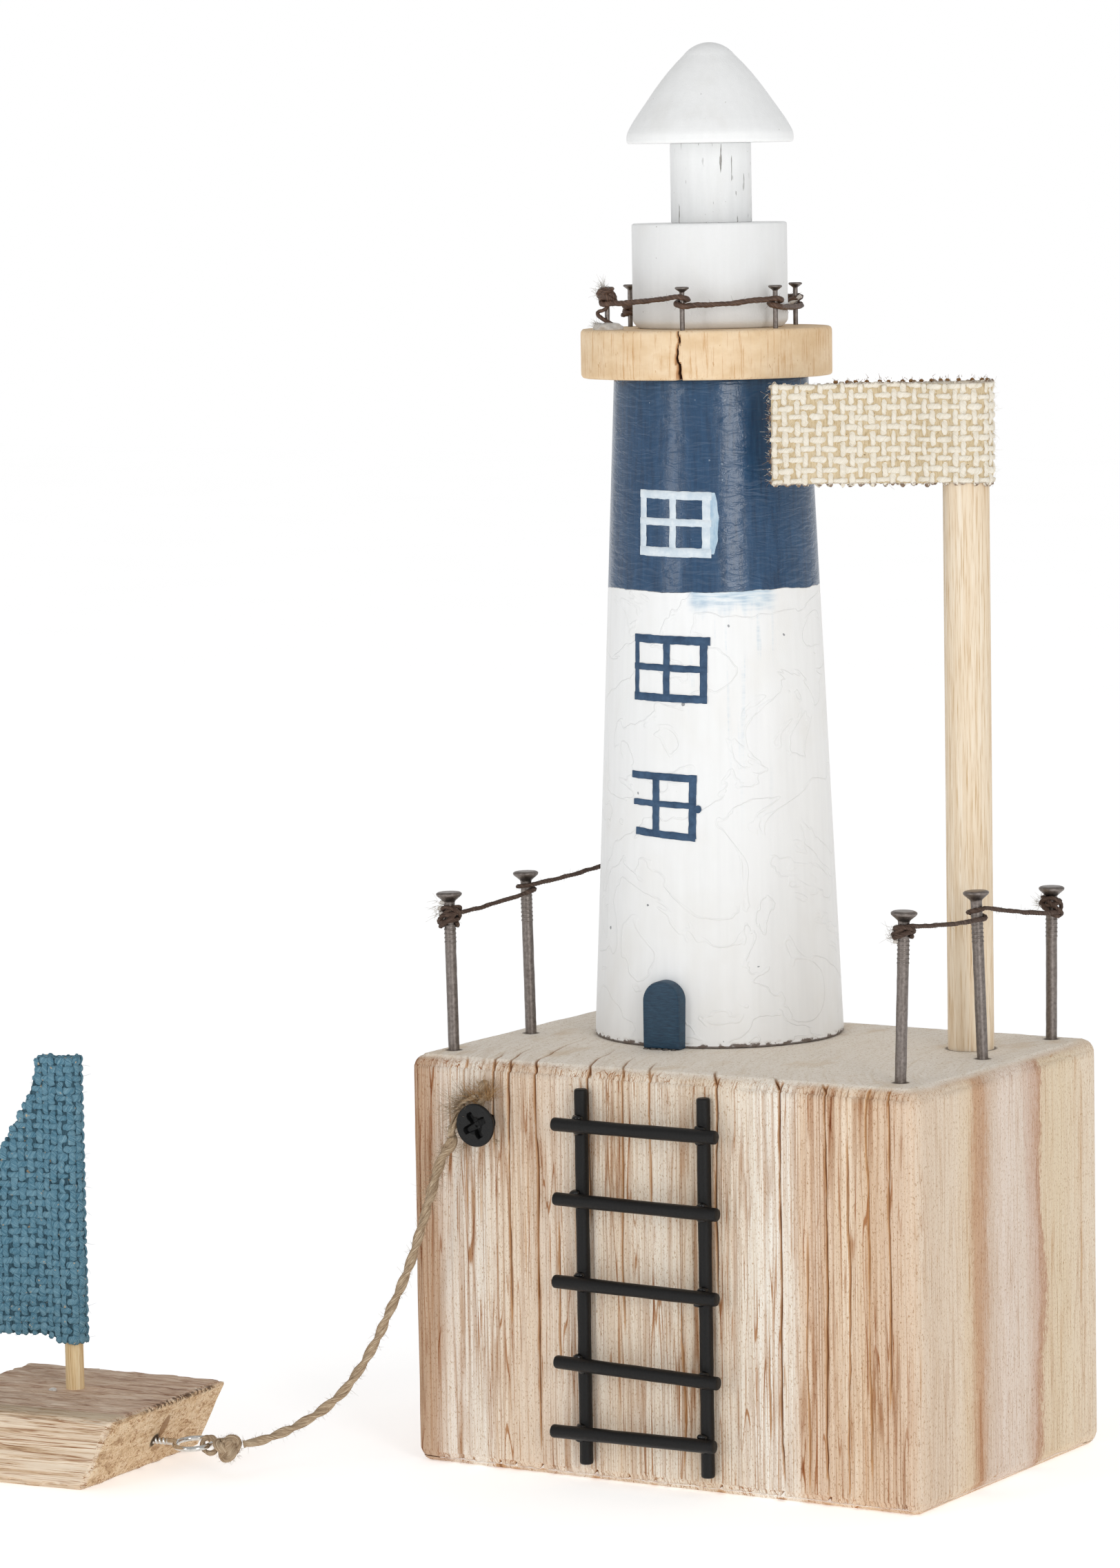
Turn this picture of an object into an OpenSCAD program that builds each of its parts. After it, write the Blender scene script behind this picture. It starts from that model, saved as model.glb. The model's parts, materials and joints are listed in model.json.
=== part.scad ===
// Wooden lighthouse ornament: a block with a railed top, a turned tower, a flag on a pole,
// a stick ladder, and a small sailboat moored to the block by a jute tether.
// Millimetres, +Z up. The origin is the middle of the block's underside, and the ladder faces -Y.

/* [Block] */
// Width of the block
block_w = 123; // [110:1:140]
// Depth of the block
block_d = 84; // [80:1:100]
// Height of the block
block_h = 88.5; // [85:0.5:95]
// Radius of the block's worn edges
block_r = 3; // [1:0.5:5]

/* [Tower] */
// Place of the tower's axis on the block, left to right
tower_x = -17.7; // [-22:0.1:-12]
// Place of the tower's axis on the block, front to back
tower_y = 16; // [12:0.5:18]
// Height of the tapered tower
tower_h = 142.5; // [130:0.5:155]
// Radius of the tower at the block
tower_r = 27.1; // [25:0.1:28]
// Radius of the tower under the gallery
tower_top_r = 21; // [18:0.5:23]
// Radius of the gallery disc
gallery_r = 27.15; // [25:0.05:30]
// Thickness of the gallery disc
gallery_t = 10.5; // [8:0.5:13]
// Radius of the drum on the gallery
drum_r = 16.8; // [15:0.1:18]
// Height of the drum
drum_h = 22.5; // [18:0.5:26]
// Radius of the lamp cylinder
lamp_r = 8.8; // [8:0.1:11]
// Height of the lamp cylinder
lamp_h = 17; // [13:0.5:20]
// Radius of the roof
roof_r = 18; // [16:0.1:20]
// Height of the roof
roof_h = 21.5; // [18:0.5:26]

/* [Door] */
// Width of the door
door_w = 8.5; // [7:0.1:11]
// Height of the door
door_h = 14.6; // [12:0.1:18]
// Thickness of the door at its middle
door_t = 2.9; // [2:0.1:4]

/* [Ladder] */
// Diameter of the ladder's sticks
stick_d = 3; // [2.5:0.1:3.5]
// Length of the two stiles
stile_l = 80; // [70:1:82]
// Length of a rung
rung_l = 39.5; // [36:0.5:42]

/* [Flag] */
// Diameter of the flagpole
pole_d = 10; // [8:0.5:11]
// Height of the flagpole above the block
pole_h = 141; // [120:1:150]
// Height of the flag
flag_h = 22; // [18:0.5:26]
// Length of the flag from the pole's axis
flag_l = 41.5; // [30:0.5:44]

/* [Boat] */
// Length of the hull on its deck
hull_l = 51.5; // [46:0.5:56]
// Width of the hull
hull_w = 49; // [40:0.5:54]
// Height of the hull
hull_h = 16; // [14:0.5:18]
// How far each end of the hull slopes in from the deck to the keel
hull_rake = 8; // [4:0.5:10]
// Diameter of the mast
mast_d = 4.3; // [3.5:0.1:5]
// Height of the sail
sail_h = 63; // [50:1:66]
// Length of the sail's foot from the mast's axis
sail_foot = 36; // [30:0.5:42]
// Length of the sail's head from the mast's axis
sail_head = 6.5; // [5:0.5:12]

/* [Tether] */
// Diameter of the jute tether
tether_d = 2.2; // [2:0.1:2.4]

/* [Hidden] */

$fn = 48;
fit = 0.03;                                  // radial room round a glued or driven pin
front_y = -block_d / 2;

// Tower stack, from the block up
gallery_z = block_h + tower_h;
drum_z = gallery_z + gallery_t;
lamp_z = drum_z + drum_h;
roof_z = lamp_z + lamp_h;
gallery_shift = -1.1;                        // the turned pieces sit a little off the tower's axis
lamp_shift = 0.6;
roof_shift = 0.5;
base_dowel_r = 6;
base_dowel_l = 40;
centre_dowel_r = 4;
centre_dowel_bottom = gallery_z - 25;
centre_dowel_top = roof_z + 8;
dowel_room = 0.5;                            // glue room past a dowel's end

// Roof outline
roof_rim = 2;
roof_tip_r = 7;
roof_slope = 53;                             // degrees above the horizontal

// Door
door_turn = 5;                               // degrees from the front towards the right

// Nails: [x, y, lean in degrees towards +X, height above the wood]
left_nails = [[-55.6, -32.5, -1, 34], [-53.7, -4, -1.2, 35.5], [-53.6, 35, 0, 37.5]];
right_nails = [[53, -33, 2, 35.5], [52.8, 4, -2, 35.5], [53, 35.8, 0.5, 33]];
gallery_nail_ring = 22.5;
gallery_nail_angles = [-130, -73, -19, 60, 112, 167];
gallery_nail_h = 9.2;
rail_nail_r = 1.25;
rail_head_r = 2.85;
gallery_nail_r = 0.55;
gallery_head_r = 1.55;
rail_nail_depth = 14;
gallery_nail_depth = 7;
glue_r = 3.4;
glue_sunk = 1.6;

// Twines
// Heights above the wood at which a twine comes to each nail and leaves it
left_twine = [[27.4, 29.5], [31.4, 32.7], [34.5, 32.6]];
right_twine = [[30.5, 32.4], [29.6, 31.9], [27.4, 30.6]];
gallery_twine_z = [[7.4, 5.5], [7.2, 5.2], [6.4, 4.5], [4.2, 6.2], [6.7, 5], [4.9, 3]];
rail_twine_r = 0.5;
gallery_twine_r = 0.65;
twine_room = 0.08;
twine_sides = 8;
turn_step = 45;

// Flagpole and flag
pole_x = 43.7;
pole_y = 16.3;
pole_depth = 18;
flag_turn = 208;
flag_top = block_h + pole_h + 1;
flag_half_t = 1.3;
cloth_t = 1.3;
flag_pinch = 13;                             // where the two layers meet, from the pole's axis

// Ladder
stile_r = stick_d / 2;
stile_x = [-17.3, 12.3];
stile_z = 4;
rung_z = [11.2, 25.4, 42.8, 60.5, 76.5];
rung_x = [-4, -2.9, -3, -2.6, -2.7];
rung_slope = [0.4, -1.7, -1, -0.7, -0.2];    // degrees, rising towards +X
glue_gap = 0.02;

// Tether screw: a bugle-headed screw that stands off the block
screw_x = -41.6;
screw_z = 75;
screw_head_r = 4.65;
screw_head_t = 4;
screw_stand = 5.2;
screw_r = 1.9;
screw_depth = 22;
recess_w = 1;
recess_l = 5;
recess_d = 2.4;

// Tether
tether_r = tether_d / 2;
tether_sides = 8;
tether_gap = 0.5;
// The tether hangs from its start beside the screw to the knot, through these points
tether_start = [-48, -46, 72];
tether_bends = [[-48, -46, 70.6], [-50, -47.3, 67], [-51.5, -50, 58.5], [-53.5, -51.5, 50.5],
    [-55.7, -53, 42.8], [-58.7, -55, 35], [-62, -57.5, 26.7], [-67, -61, 18], [-73.5, -65.3, 12],
    [-80.3, -69.5, 8.4]];
// The cord's short end, from above the screw's head, round behind it and down to the tether
wrap_route = [[-40.5, -45, 84], [-41, -44.2, 81.5], [-42.3, -43.5, 79.2], [-44.5, -43.4, 77.6],
    [-46.6, -44, 76.2], [-47.8, -45, 74.6], [-48, -46, 73.2], tether_start + [0, 0, tether_gap]];
knot_at = [-87.8, -74.4, 6.4];
knot_r = 3.4;
knot_gap = 0.05;
strand_r = 0.65;
loop_r = 1.75;
loop_away = 4.4;

// Boat, drawn along its own X axis with the stern at +X
boat_x = -126.5;
boat_y = -77.5;
boat_turn = 4.5;
hull_r = 1.5;
hull_corner_r = 2.5;                         // in plan
mast_x = -0.5;
mast_y = 3;
mast_depth = 9;
sail_turn = 192.5;
sail_foot_z = hull_h + 9.6;
sail_half_t = 1.2;
sail_cloth_t = 1.15;
sail_pinch = 8;
sail_rise = 1.5;
eye_z = 6.7;
eye_ring_r = 3.95;
eye_wire_r = 0.55;
eye_ring_x = 30.45;
eye_tilt = 6;
eye_shank_r = 0.75;
eye_inside = 8;

// ---------------------------------------------------------------- helpers

function unit(v) = v / norm(v);
function along(path, i) = unit(path[min(i + 1, len(path) - 1)] - path[max(i - 1, 0)]);
function first_side(t) = unit(cross(t, abs(t.z) < 0.9 ? [0, 0, 1] : [1, 0, 0]));
function side_at(path, i) = i == 0 ? first_side(along(path, 0)) :
    let (before = side_at(path, i - 1), t = along(path, i))
    unit(before - (before * t) * t);
function ring_at(path, i, r, sides) =
    let (t = along(path, i), u = side_at(path, i), v = cross(t, u))
    [for (k = [0 : sides - 1])
        let (a = 360 * k / sides) path[i] + r * (cos(a) * u + sin(a) * v)];

// A round cord of radius r along a list of points
module cord(path, r, sides) {
    rings = [for (i = [0 : len(path) - 1]) each ring_at(path, i, r, sides)];
    last = (len(path) - 1) * sides;
    walls = [for (i = [0 : len(path) - 2], k = [0 : sides - 1])
        let (a = i * sides + k, b = i * sides + (k + 1) % sides)
        each [[a, a + sides, b + sides], [a, b + sides, b]]];
    start_face = [for (k = [0 : sides - 1]) k];
    end_face = [for (k = [sides - 1 : -1 : 0]) last + k];
    polyhedron(rings, concat(walls, [start_face], [end_face]), convexity = 10);
}

// Points of a cord that turns about an upright line
function turns(c, r, a0, a1, z0, z1) =
    let (n = ceil(abs(a1 - a0) / turn_step))
    [for (i = [0 : n]) let (f = i / n, a = a0 + (a1 - a0) * f)
        [c.x + r * cos(a), c.y + r * sin(a), z0 + (z1 - z0) * f]];
// Points between two ends of a slack span
function span(p, q, sag) =
    [for (f = [0.2, 0.5, 0.8]) p + (q - p) * f - [0, 0, sag * 4 * f * (1 - f)]];
// A smooth curve through a list of points, with n steps between each two
function smooth(p, n) =
    let (last = len(p) - 1)
    concat([for (i = [0 : last - 1], k = [0 : n - 1])
        let (f = k / n, a = p[max(i - 1, 0)], b = p[i], c = p[i + 1], d = p[min(i + 2, last)])
        (2 * b + (c - a) * f + (2 * a - 5 * b + 4 * c - d) * f * f
            + (3 * b - 3 * c + d - a) * f * f * f) / 2], [p[last]]);
function heading(p, q) = atan2(q.y - p.y, q.x - p.x);
// The nearest angle to a that is not less than low
function raised(a, low) = a + 360 * ceil((low - a) / 360);

// Route of a twine hitched once round each nail of a row. Each nail is [x, y], and z holds the
// heights at which the twine comes to each nail and leaves it.
function hitched(nails, i, r, z, sag) =
    let (last = len(nails) - 1,
        h_in = i == 0 ? heading(nails[0], nails[1]) : heading(nails[i - 1], nails[i]),
        h_out = i == last ? h_in : heading(nails[i], nails[i + 1]),
        extra = (i == 0 || i == last) ? 180 : 0,
        a0 = h_in - 90 - (i == 0 ? extra : 0),
        a1 = raised(h_out - 90, h_in - 90 + 300) + (i == last ? extra : 0),
        here = turns(nails[i], r, a0, a1, z[i][0], z[i][1]))
    i == last ? here :
    let (rest = hitched(nails, i + 1, r, z, sag))
    concat(here, span(here[len(here) - 1], rest[0], sag), rest);

// ---------------------------------------------------------------- nails

module nail(shank_r, head_r, above, below) {
    head_t = head_r * 0.28;
    cone_t = head_r * 0.45;
    translate([0, 0, above - head_t]) cylinder(r = head_r, h = head_t);
    translate([0, 0, above - head_t - cone_t]) cylinder(r1 = shank_r, r2 = head_r, h = cone_t);
    translate([0, 0, -below]) cylinder(r = shank_r, h = below + above - head_t);
}

// Children stand on the block at a nail's place, leaning as it leans
module at_rail_nail(n) {
    translate([n.x, n.y, block_h]) rotate([0, n[2], 0]) children();
}

module rail_nails(row) {
    color("dimgray")
    for (n = row) at_rail_nail(n) nail(rail_nail_r, rail_head_r, n[3], rail_nail_depth);
}

module rail_twine(row, heights) {
    axes = [for (i = [0 : len(row) - 1])
        [row[i].x + (heights[i][0] + heights[i][1]) / 2 * tan(row[i][2]), row[i].y]];
    z = [for (h = heights) [block_h + h[0], block_h + h[1]]];
    wrap_r = rail_nail_r + rail_twine_r + twine_room;
    color("saddlebrown")
    cord(hitched(axes, 0, wrap_r, z, 0.4), rail_twine_r, twine_sides);
}

function gallery_nail_at(a) = [tower_x + gallery_shift + gallery_nail_ring * cos(a),
    tower_y + gallery_nail_ring * sin(a)];

// ---------------------------------------------------------------- block

module block_body() {
    w = block_w - 2 * block_r;
    d = block_d - 2 * block_r;
    h = block_h - 2 * block_r;
    translate([0, 0, block_h / 2])
    hull() {
        cube([w, d, block_h], center = true);
        cube([w, block_d, h], center = true);
        cube([block_w, d, h], center = true);
        for (x = [-w, w], y = [-d, d], z = [-h, h])
            translate([x, y, z] / 2) sphere(r = block_r, $fn = 24);
    }
}

module block() {
    color("burlywood")
    difference() {
        block_body();
        translate([tower_x, tower_y, block_h - base_dowel_l / 2 - dowel_room])
            cylinder(r = base_dowel_r + fit, h = base_dowel_l);
        translate([pole_x, pole_y, block_h - pole_depth - dowel_room])
            cylinder(r = pole_d / 2 + fit, h = pole_depth + 2);
        for (n = concat(left_nails, right_nails)) at_rail_nail(n)
            translate([0, 0, -rail_nail_depth - dowel_room])
            cylinder(r = rail_nail_r + fit, h = rail_nail_depth + 2);
        translate([screw_x, front_y - 1, screw_z]) rotate([-90, 0, 0])
            cylinder(r = screw_r + fit, h = screw_depth + 1 + dowel_room);
    }
}

// ---------------------------------------------------------------- tower

module base_dowel() {
    color("tan")
    translate([tower_x, tower_y, block_h - base_dowel_l / 2])
        cylinder(r = base_dowel_r, h = base_dowel_l);
}

module tower_cone(grow = 0) {
    translate([tower_x, tower_y, block_h])
        cylinder(r1 = tower_r + grow, r2 = tower_top_r + grow, h = tower_h, $fn = 96);
}

module tower() {
    color("whitesmoke")
    difference() {
        tower_cone();
        translate([tower_x, tower_y, block_h - 1])
            cylinder(r = base_dowel_r + fit, h = base_dowel_l / 2 + 1 + dowel_room);
        translate([tower_x, tower_y, centre_dowel_bottom - dowel_room])
            cylinder(r = centre_dowel_r + fit, h = gallery_z - centre_dowel_bottom + 2);
    }
}

module centre_dowel() {
    color("tan")
    translate([tower_x, tower_y, centre_dowel_bottom])
        cylinder(r = centre_dowel_r, h = centre_dowel_top - centre_dowel_bottom);
}

module centre_bore(top) {
    translate([tower_x, tower_y, gallery_z - 1])
        cylinder(r = centre_dowel_r + fit, h = top - gallery_z + 1);
}

module gallery_disc() {
    color("wheat")
    difference() {
        translate([tower_x + gallery_shift, tower_y, gallery_z])
            cylinder(r = gallery_r, h = gallery_t, $fn = 96);
        centre_bore(drum_z + 1);
        for (a = gallery_nail_angles)
            translate([each gallery_nail_at(a), drum_z - gallery_nail_depth - dowel_room])
            cylinder(r = gallery_nail_r + fit, h = gallery_nail_depth + 2);
    }
}

module upper_drum() {
    color("whitesmoke")
    difference() {
        translate([tower_x, tower_y, drum_z]) cylinder(r = drum_r, h = drum_h, $fn = 96);
        centre_bore(lamp_z + 1);
    }
}

module lamp_cylinder() {
    color("whitesmoke")
    difference() {
        translate([tower_x + lamp_shift, tower_y, lamp_z]) cylinder(r = lamp_r, h = lamp_h);
        centre_bore(roof_z + 1);
    }
}

// Half outline of the roof: a short upright rim, a straight slope and a round tip
function roof_outline() =
    let (tip_z = roof_h - roof_tip_r,
        tip = [for (a = [90 - roof_slope : 8 : 90])
            [roof_tip_r * cos(a), tip_z + roof_tip_r * sin(a)]])
    concat([[0, 0], [roof_r, 0], [roof_r, roof_rim], [roof_r - 0.5, roof_rim + 1.1]], tip,
        [[0, roof_h]]);

module roof() {
    color("whitesmoke")
    difference() {
        translate([tower_x + roof_shift, tower_y, roof_z])
            rotate_extrude($fn = 72) polygon(roof_outline());
        centre_bore(centre_dowel_top + dowel_room);
    }
}

module door() {
    arch_r = door_w / 2;
    color("midnightblue")
    difference() {
        translate([tower_x, tower_y, block_h + glue_gap]) rotate([90, 0, door_turn])
            linear_extrude(tower_r + door_t) {
                translate([-arch_r, 0]) square([door_w, door_h - arch_r]);
                translate([0, door_h - arch_r]) circle(arch_r);
            }
        tower_cone(glue_gap);
    }
}

module gallery_nails() {
    color("dimgray")
    for (a = gallery_nail_angles)
        translate([each gallery_nail_at(a), drum_z])
        nail(gallery_nail_r, gallery_head_r, gallery_nail_h, gallery_nail_depth);
}

module gallery_twine() {
    axes = [for (a = gallery_nail_angles) gallery_nail_at(a)];
    z = [for (h = gallery_twine_z) [drum_z + h[0], drum_z + h[1]]];
    wrap_r = gallery_nail_r + gallery_twine_r + twine_room;
    color("saddlebrown")
    cord(hitched(axes, 0, wrap_r, z, 0.2), gallery_twine_r, twine_sides);
}

// The dab of glue that holds the tail of the gallery's twine
module gallery_glue() {
    foot = gallery_nail_at(gallery_nail_angles[0]);
    color("lightgray")
    intersection() {
        translate([foot.x, foot.y, drum_z + glue_gap - glue_sunk]) sphere(r = glue_r);
        translate([foot.x - glue_r, foot.y - glue_r, drum_z + glue_gap]) cube(2 * glue_r);
    }
}

// ---------------------------------------------------------------- flag

module flagpole() {
    color("wheat")
    translate([pole_x, pole_y, block_h - pole_depth])
        cylinder(r = pole_d / 2, h = pole_depth + pole_h);
}

// Plan of a strip of cloth folded round a pole: a round eye that pinches to two flat layers
module folded_cloth(eye_r, half_t, pinch, reach) {
    x0 = eye_r * cos(45);
    y0 = eye_r * sin(45);
    upper = [for (x = [x0 : (pinch - x0) / 8 : pinch + 0.01])
        [x, half_t + (y0 - half_t) * (1 + cos(180 * (x - x0) / (pinch - x0))) / 2]];
    lower = [for (k = [len(upper) - 1 : -1 : 0]) [upper[k].x, -upper[k].y]];
    back = [for (a = [-60 : -15 : -300]) eye_r * [cos(a), sin(a)]];
    polygon(concat(upper, [[reach, half_t], [reach, -half_t]], lower, back));
}

module flag() {
    eye_r = pole_d / 2 + cloth_t;
    color("cornsilk")
    translate([pole_x, pole_y, flag_top - flag_h]) rotate(flag_turn)
    difference() {
        linear_extrude(flag_h) folded_cloth(eye_r, flag_half_t, flag_pinch, flag_l);
        translate([0, 0, -1]) cylinder(r = pole_d / 2 + fit, h = flag_h + 2);
    }
}

// ---------------------------------------------------------------- ladder

module ladder_stile(i) {
    color("black")
    translate([stile_x[i], front_y - stile_r - glue_gap, stile_z]) cylinder(r = stile_r, h = stile_l);
}

module ladder_rung(i) {
    color("black")
    translate([rung_x[i], front_y - 3 * stile_r - 2 * glue_gap, rung_z[i]])
    rotate([0, 90 - rung_slope[i], 0]) cylinder(r = stile_r, h = rung_l, center = true);
}

// ---------------------------------------------------------------- tether

module tether_screw() {
    color("black")
    translate([screw_x, front_y, screw_z]) rotate([90, 0, 0])
    difference() {
        union() {
            translate([0, 0, screw_stand - 0.8]) cylinder(r = screw_head_r, h = 0.8);
            translate([0, 0, screw_stand - screw_head_t])
                cylinder(r1 = screw_r, r2 = screw_head_r, h = screw_head_t - 0.8);
            translate([0, 0, -screw_depth]) cylinder(r = screw_r, h = screw_depth + screw_stand - 1);
        }
        for (turn = [0, 90])
            translate([0, 0, screw_stand]) rotate(turn + 30)
            cube([recess_l, recess_w, 2 * recess_d], center = true);
    }
}

module tether_wrap() {
    color("tan") cord(wrap_route, tether_r, tether_sides);
}

module tether() {
    last_bend = tether_bends[len(tether_bends) - 1];
    finish = knot_at + (knot_r + knot_gap) * unit(last_bend - knot_at);
    route = smooth(concat([tether_start], tether_bends, [finish]), 2);
    color("tan") cord(route, tether_r, tether_sides);
}

module tether_knot() {
    color("tan")
    translate(knot_at) {
        sphere(r = knot_r, $fn = 32);
        rotate(boat_turn) translate([-loop_away, 0, eye_z - knot_at.z]) rotate([90, 0, 0])
            rotate_extrude($fn = 32) translate([loop_r, 0]) circle(strand_r, $fn = 16);
    }
}

// ---------------------------------------------------------------- boat

module on_boat() {
    translate([boat_x, boat_y, 0]) rotate(boat_turn) children();
}

// Side view of the hull, sloping in at both ends
module hull_side() {
    top = hull_l / 2;
    bottom = top - hull_rake;
    polygon([[-bottom, 0], [bottom, 0], [top, hull_h], [-top, hull_h]]);
}

module hull_solid() {
    difference() {
        intersection() {
            rotate([90, 0, 0]) linear_extrude(hull_w, center = true) hull_side();
            linear_extrude(3 * hull_h, center = true) offset(r = hull_corner_r)
                square([hull_l - 2 * hull_corner_r, hull_w - 2 * hull_corner_r], center = true);
        }
        for (y = [-1, 1])
            translate([0, y * hull_w / 2, 0]) rotate([45, 0, 0])
            cube([2 * hull_l, hull_r, hull_r], center = true);
    }
}

module hull_body() {
    color("burlywood")
    on_boat() difference() {
        hull_solid();
        translate([mast_x, mast_y, hull_h - mast_depth - dowel_room])
            cylinder(r = mast_d / 2 + fit, h = mast_depth + 2);
        translate([0, 0, eye_z]) rotate([0, 90, 0])
            cylinder(r = eye_shank_r + fit, h = hull_l / 2);
    }
}

module mast() {
    color("wheat")
    on_boat() translate([mast_x, mast_y, hull_h - mast_depth])
        cylinder(r = mast_d / 2, h = mast_depth + sail_foot_z - hull_h + sail_h - 1);
}

// Side view of the sail: its foot rises a little from the mast, and its free edge is hollow
function sail_outline(luff) = [[luff, -1], [0, 0], [6, sail_rise], [sail_foot, sail_rise],
    [sail_foot - 14, sail_h * 0.42], [sail_head + 8.5, sail_h * 0.68], [sail_head + 2, sail_h * 0.87],
    [sail_head, sail_h + 1], [luff, sail_h + 1]];

module sail() {
    eye_r = mast_d / 2 + sail_cloth_t;
    color("steelblue")
    on_boat() translate([mast_x, mast_y, sail_foot_z]) rotate(sail_turn)
    difference() {
        intersection() {
            linear_extrude(sail_h) folded_cloth(eye_r, sail_half_t, sail_pinch, sail_foot);
            rotate([90, 0, 0]) linear_extrude(4 * eye_r, center = true)
                polygon(sail_outline(-2 * eye_r));
        }
        translate([0, 0, -1]) cylinder(r = mast_d / 2 + fit, h = sail_h + 2);
    }
}

module screw_eye() {
    shank_start = hull_l / 2 - hull_rake * (1 - eye_z / hull_h) - eye_inside;
    shank_end = eye_ring_x - eye_ring_r;
    color("silver")
    on_boat() translate([0, 0, eye_z]) rotate([eye_tilt, 0, 0]) {
        translate([eye_ring_x, 0, 0])
            rotate_extrude() translate([eye_ring_r, 0]) circle(eye_wire_r, $fn = 24);
        translate([shank_start, 0, 0]) rotate([0, 90, 0])
            cylinder(r = eye_shank_r, h = shank_end - shank_start, $fn = 24);
    }
}

// ---------------------------------------------------------------- nodes

block();
base_dowel();
tower();
centre_dowel();
gallery_disc();
upper_drum();
lamp_cylinder();
roof();
door();
gallery_nails();
gallery_twine();
gallery_glue();
rail_nails(left_nails);  // left_rail_nails
rail_twine(left_nails, left_twine);  // left_rail_twine
rail_nails(right_nails);  // right_rail_nails
rail_twine(right_nails, right_twine);  // right_rail_twine
flagpole();
flag();
ladder_stile(0);  // ladder_stile_left
ladder_stile(1);  // ladder_stile_right
ladder_rung(0);  // ladder_rung_1
ladder_rung(1);  // ladder_rung_2
ladder_rung(2);  // ladder_rung_3
ladder_rung(3);  // ladder_rung_4
ladder_rung(4);  // ladder_rung_5
tether_screw();
tether_wrap();
tether();
tether_knot();
hull_body();  // hull
mast();
sail();
screw_eye();
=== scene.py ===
# Wooden lighthouse ornament with a moored sailboat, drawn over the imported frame.
# The lengths in this script are millimetres, and meshes are scaled to metres as they are made.
import bpy
import json
import math
import numpy as np
from mathutils import Matrix, Vector

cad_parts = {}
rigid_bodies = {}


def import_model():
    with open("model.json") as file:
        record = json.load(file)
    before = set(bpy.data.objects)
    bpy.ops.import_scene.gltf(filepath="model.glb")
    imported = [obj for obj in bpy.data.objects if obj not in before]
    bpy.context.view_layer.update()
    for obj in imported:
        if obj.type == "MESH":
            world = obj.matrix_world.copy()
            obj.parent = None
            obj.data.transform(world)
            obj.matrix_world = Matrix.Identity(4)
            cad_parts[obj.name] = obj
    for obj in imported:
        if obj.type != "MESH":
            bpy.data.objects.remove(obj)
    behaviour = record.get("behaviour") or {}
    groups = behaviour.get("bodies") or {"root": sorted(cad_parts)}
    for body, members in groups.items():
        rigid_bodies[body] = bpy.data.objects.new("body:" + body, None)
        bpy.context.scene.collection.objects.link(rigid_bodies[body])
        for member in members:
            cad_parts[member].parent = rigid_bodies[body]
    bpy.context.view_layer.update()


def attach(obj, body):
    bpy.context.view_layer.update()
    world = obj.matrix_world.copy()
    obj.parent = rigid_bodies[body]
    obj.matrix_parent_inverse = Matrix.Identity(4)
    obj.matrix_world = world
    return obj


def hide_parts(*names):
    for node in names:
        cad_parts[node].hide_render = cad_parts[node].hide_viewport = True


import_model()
scene = bpy.context.scene
MM = 0.001
UP = np.array([0, 0, 1.0])
RNG = np.random.default_rng(11)

# ---------------------------------------------------------------- camera

CAMERA_TURN = math.radians(29.55)            # from straight in front, towards +X
CAMERA_AIM = math.radians(31.38)
CAMERA_PITCH = math.radians(5.786)
CAMERA_ROLL = math.radians(-0.907)
CAMERA_AWAY = 1.276521
CAMERA_Z = 0.274711
CAMERA_LENS = 138.02


def add_camera():
    back = Vector((math.sin(CAMERA_AIM) * math.cos(CAMERA_PITCH),
                   -math.cos(CAMERA_AIM) * math.cos(CAMERA_PITCH), math.sin(CAMERA_PITCH)))
    right = Vector((math.cos(CAMERA_AIM), math.sin(CAMERA_AIM), 0))
    up = back.cross(right)
    level_right = math.cos(CAMERA_ROLL) * right + math.sin(CAMERA_ROLL) * up
    level_up = -math.sin(CAMERA_ROLL) * right + math.cos(CAMERA_ROLL) * up
    place = Matrix((level_right, level_up, back)).transposed().to_4x4()
    place.translation = (CAMERA_AWAY * math.sin(CAMERA_TURN),
                         -CAMERA_AWAY * math.cos(CAMERA_TURN), CAMERA_Z)
    data = bpy.data.cameras.new("camera")
    data.lens = CAMERA_LENS
    data.sensor_width = 36
    data.clip_end = 20
    camera = bpy.data.objects.new("camera", data)
    camera.matrix_world = place
    scene.collection.objects.link(camera)
    scene.camera = camera


add_camera()

# ---------------------------------------------------------------- numbers shared with the CAD

BLOCK = (123.0, 84.0, 88.5)
BLOCK_R = 3.0
FRONT_Y = -42.0
TOWER = (-17.7, 16.0)
TOWER_R = 27.1
TOWER_TOP_R = 21.0
TOWER_H = 142.5
GALLERY_C = (TOWER[0] - 1.1, TOWER[1])
GALLERY_Z = BLOCK[2] + TOWER_H
GALLERY_R = 27.15
GALLERY_T = 10.5
PIN_RING_R = 22.5
DRUM_Z = GALLERY_Z + GALLERY_T
DRUM_R = 16.78
DRUM_H = 22.5
LAMP_Z = DRUM_Z + DRUM_H
LAMP_R = 8.78
LAMP_H = 17.0
ROOF_Z = LAMP_Z + LAMP_H
ROOF_R = 18.0
ROOF_H = 21.5
ROOF_TIP_R = 7.0
DOOR_TURN = 5.0
NAVY_Z = 186.0                               # the lower edge of the tower's navy paint
WINDOW_TILT = 0.032                          # how much a window's bars rise to the left, per millimetre
LEFT_NAILS = [(-55.6, -32.5, -1, 34), (-53.7, -4, -1.2, 35.5), (-53.6, 35, 0, 37.5)]
RIGHT_NAILS = [(53, -33, 2, 35.5), (52.8, 4, -2, 35.5), (53, 35.8, 0.5, 33)]
LEFT_TWINE = [(27.4, 29.5), (31.4, 32.7), (34.5, 32.6)]
RIGHT_TWINE = [(30.5, 32.4), (29.6, 31.9), (27.4, 30.6)]
GALLERY_NAILS = (-130, -73, -19, 60, 112, 167)
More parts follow.
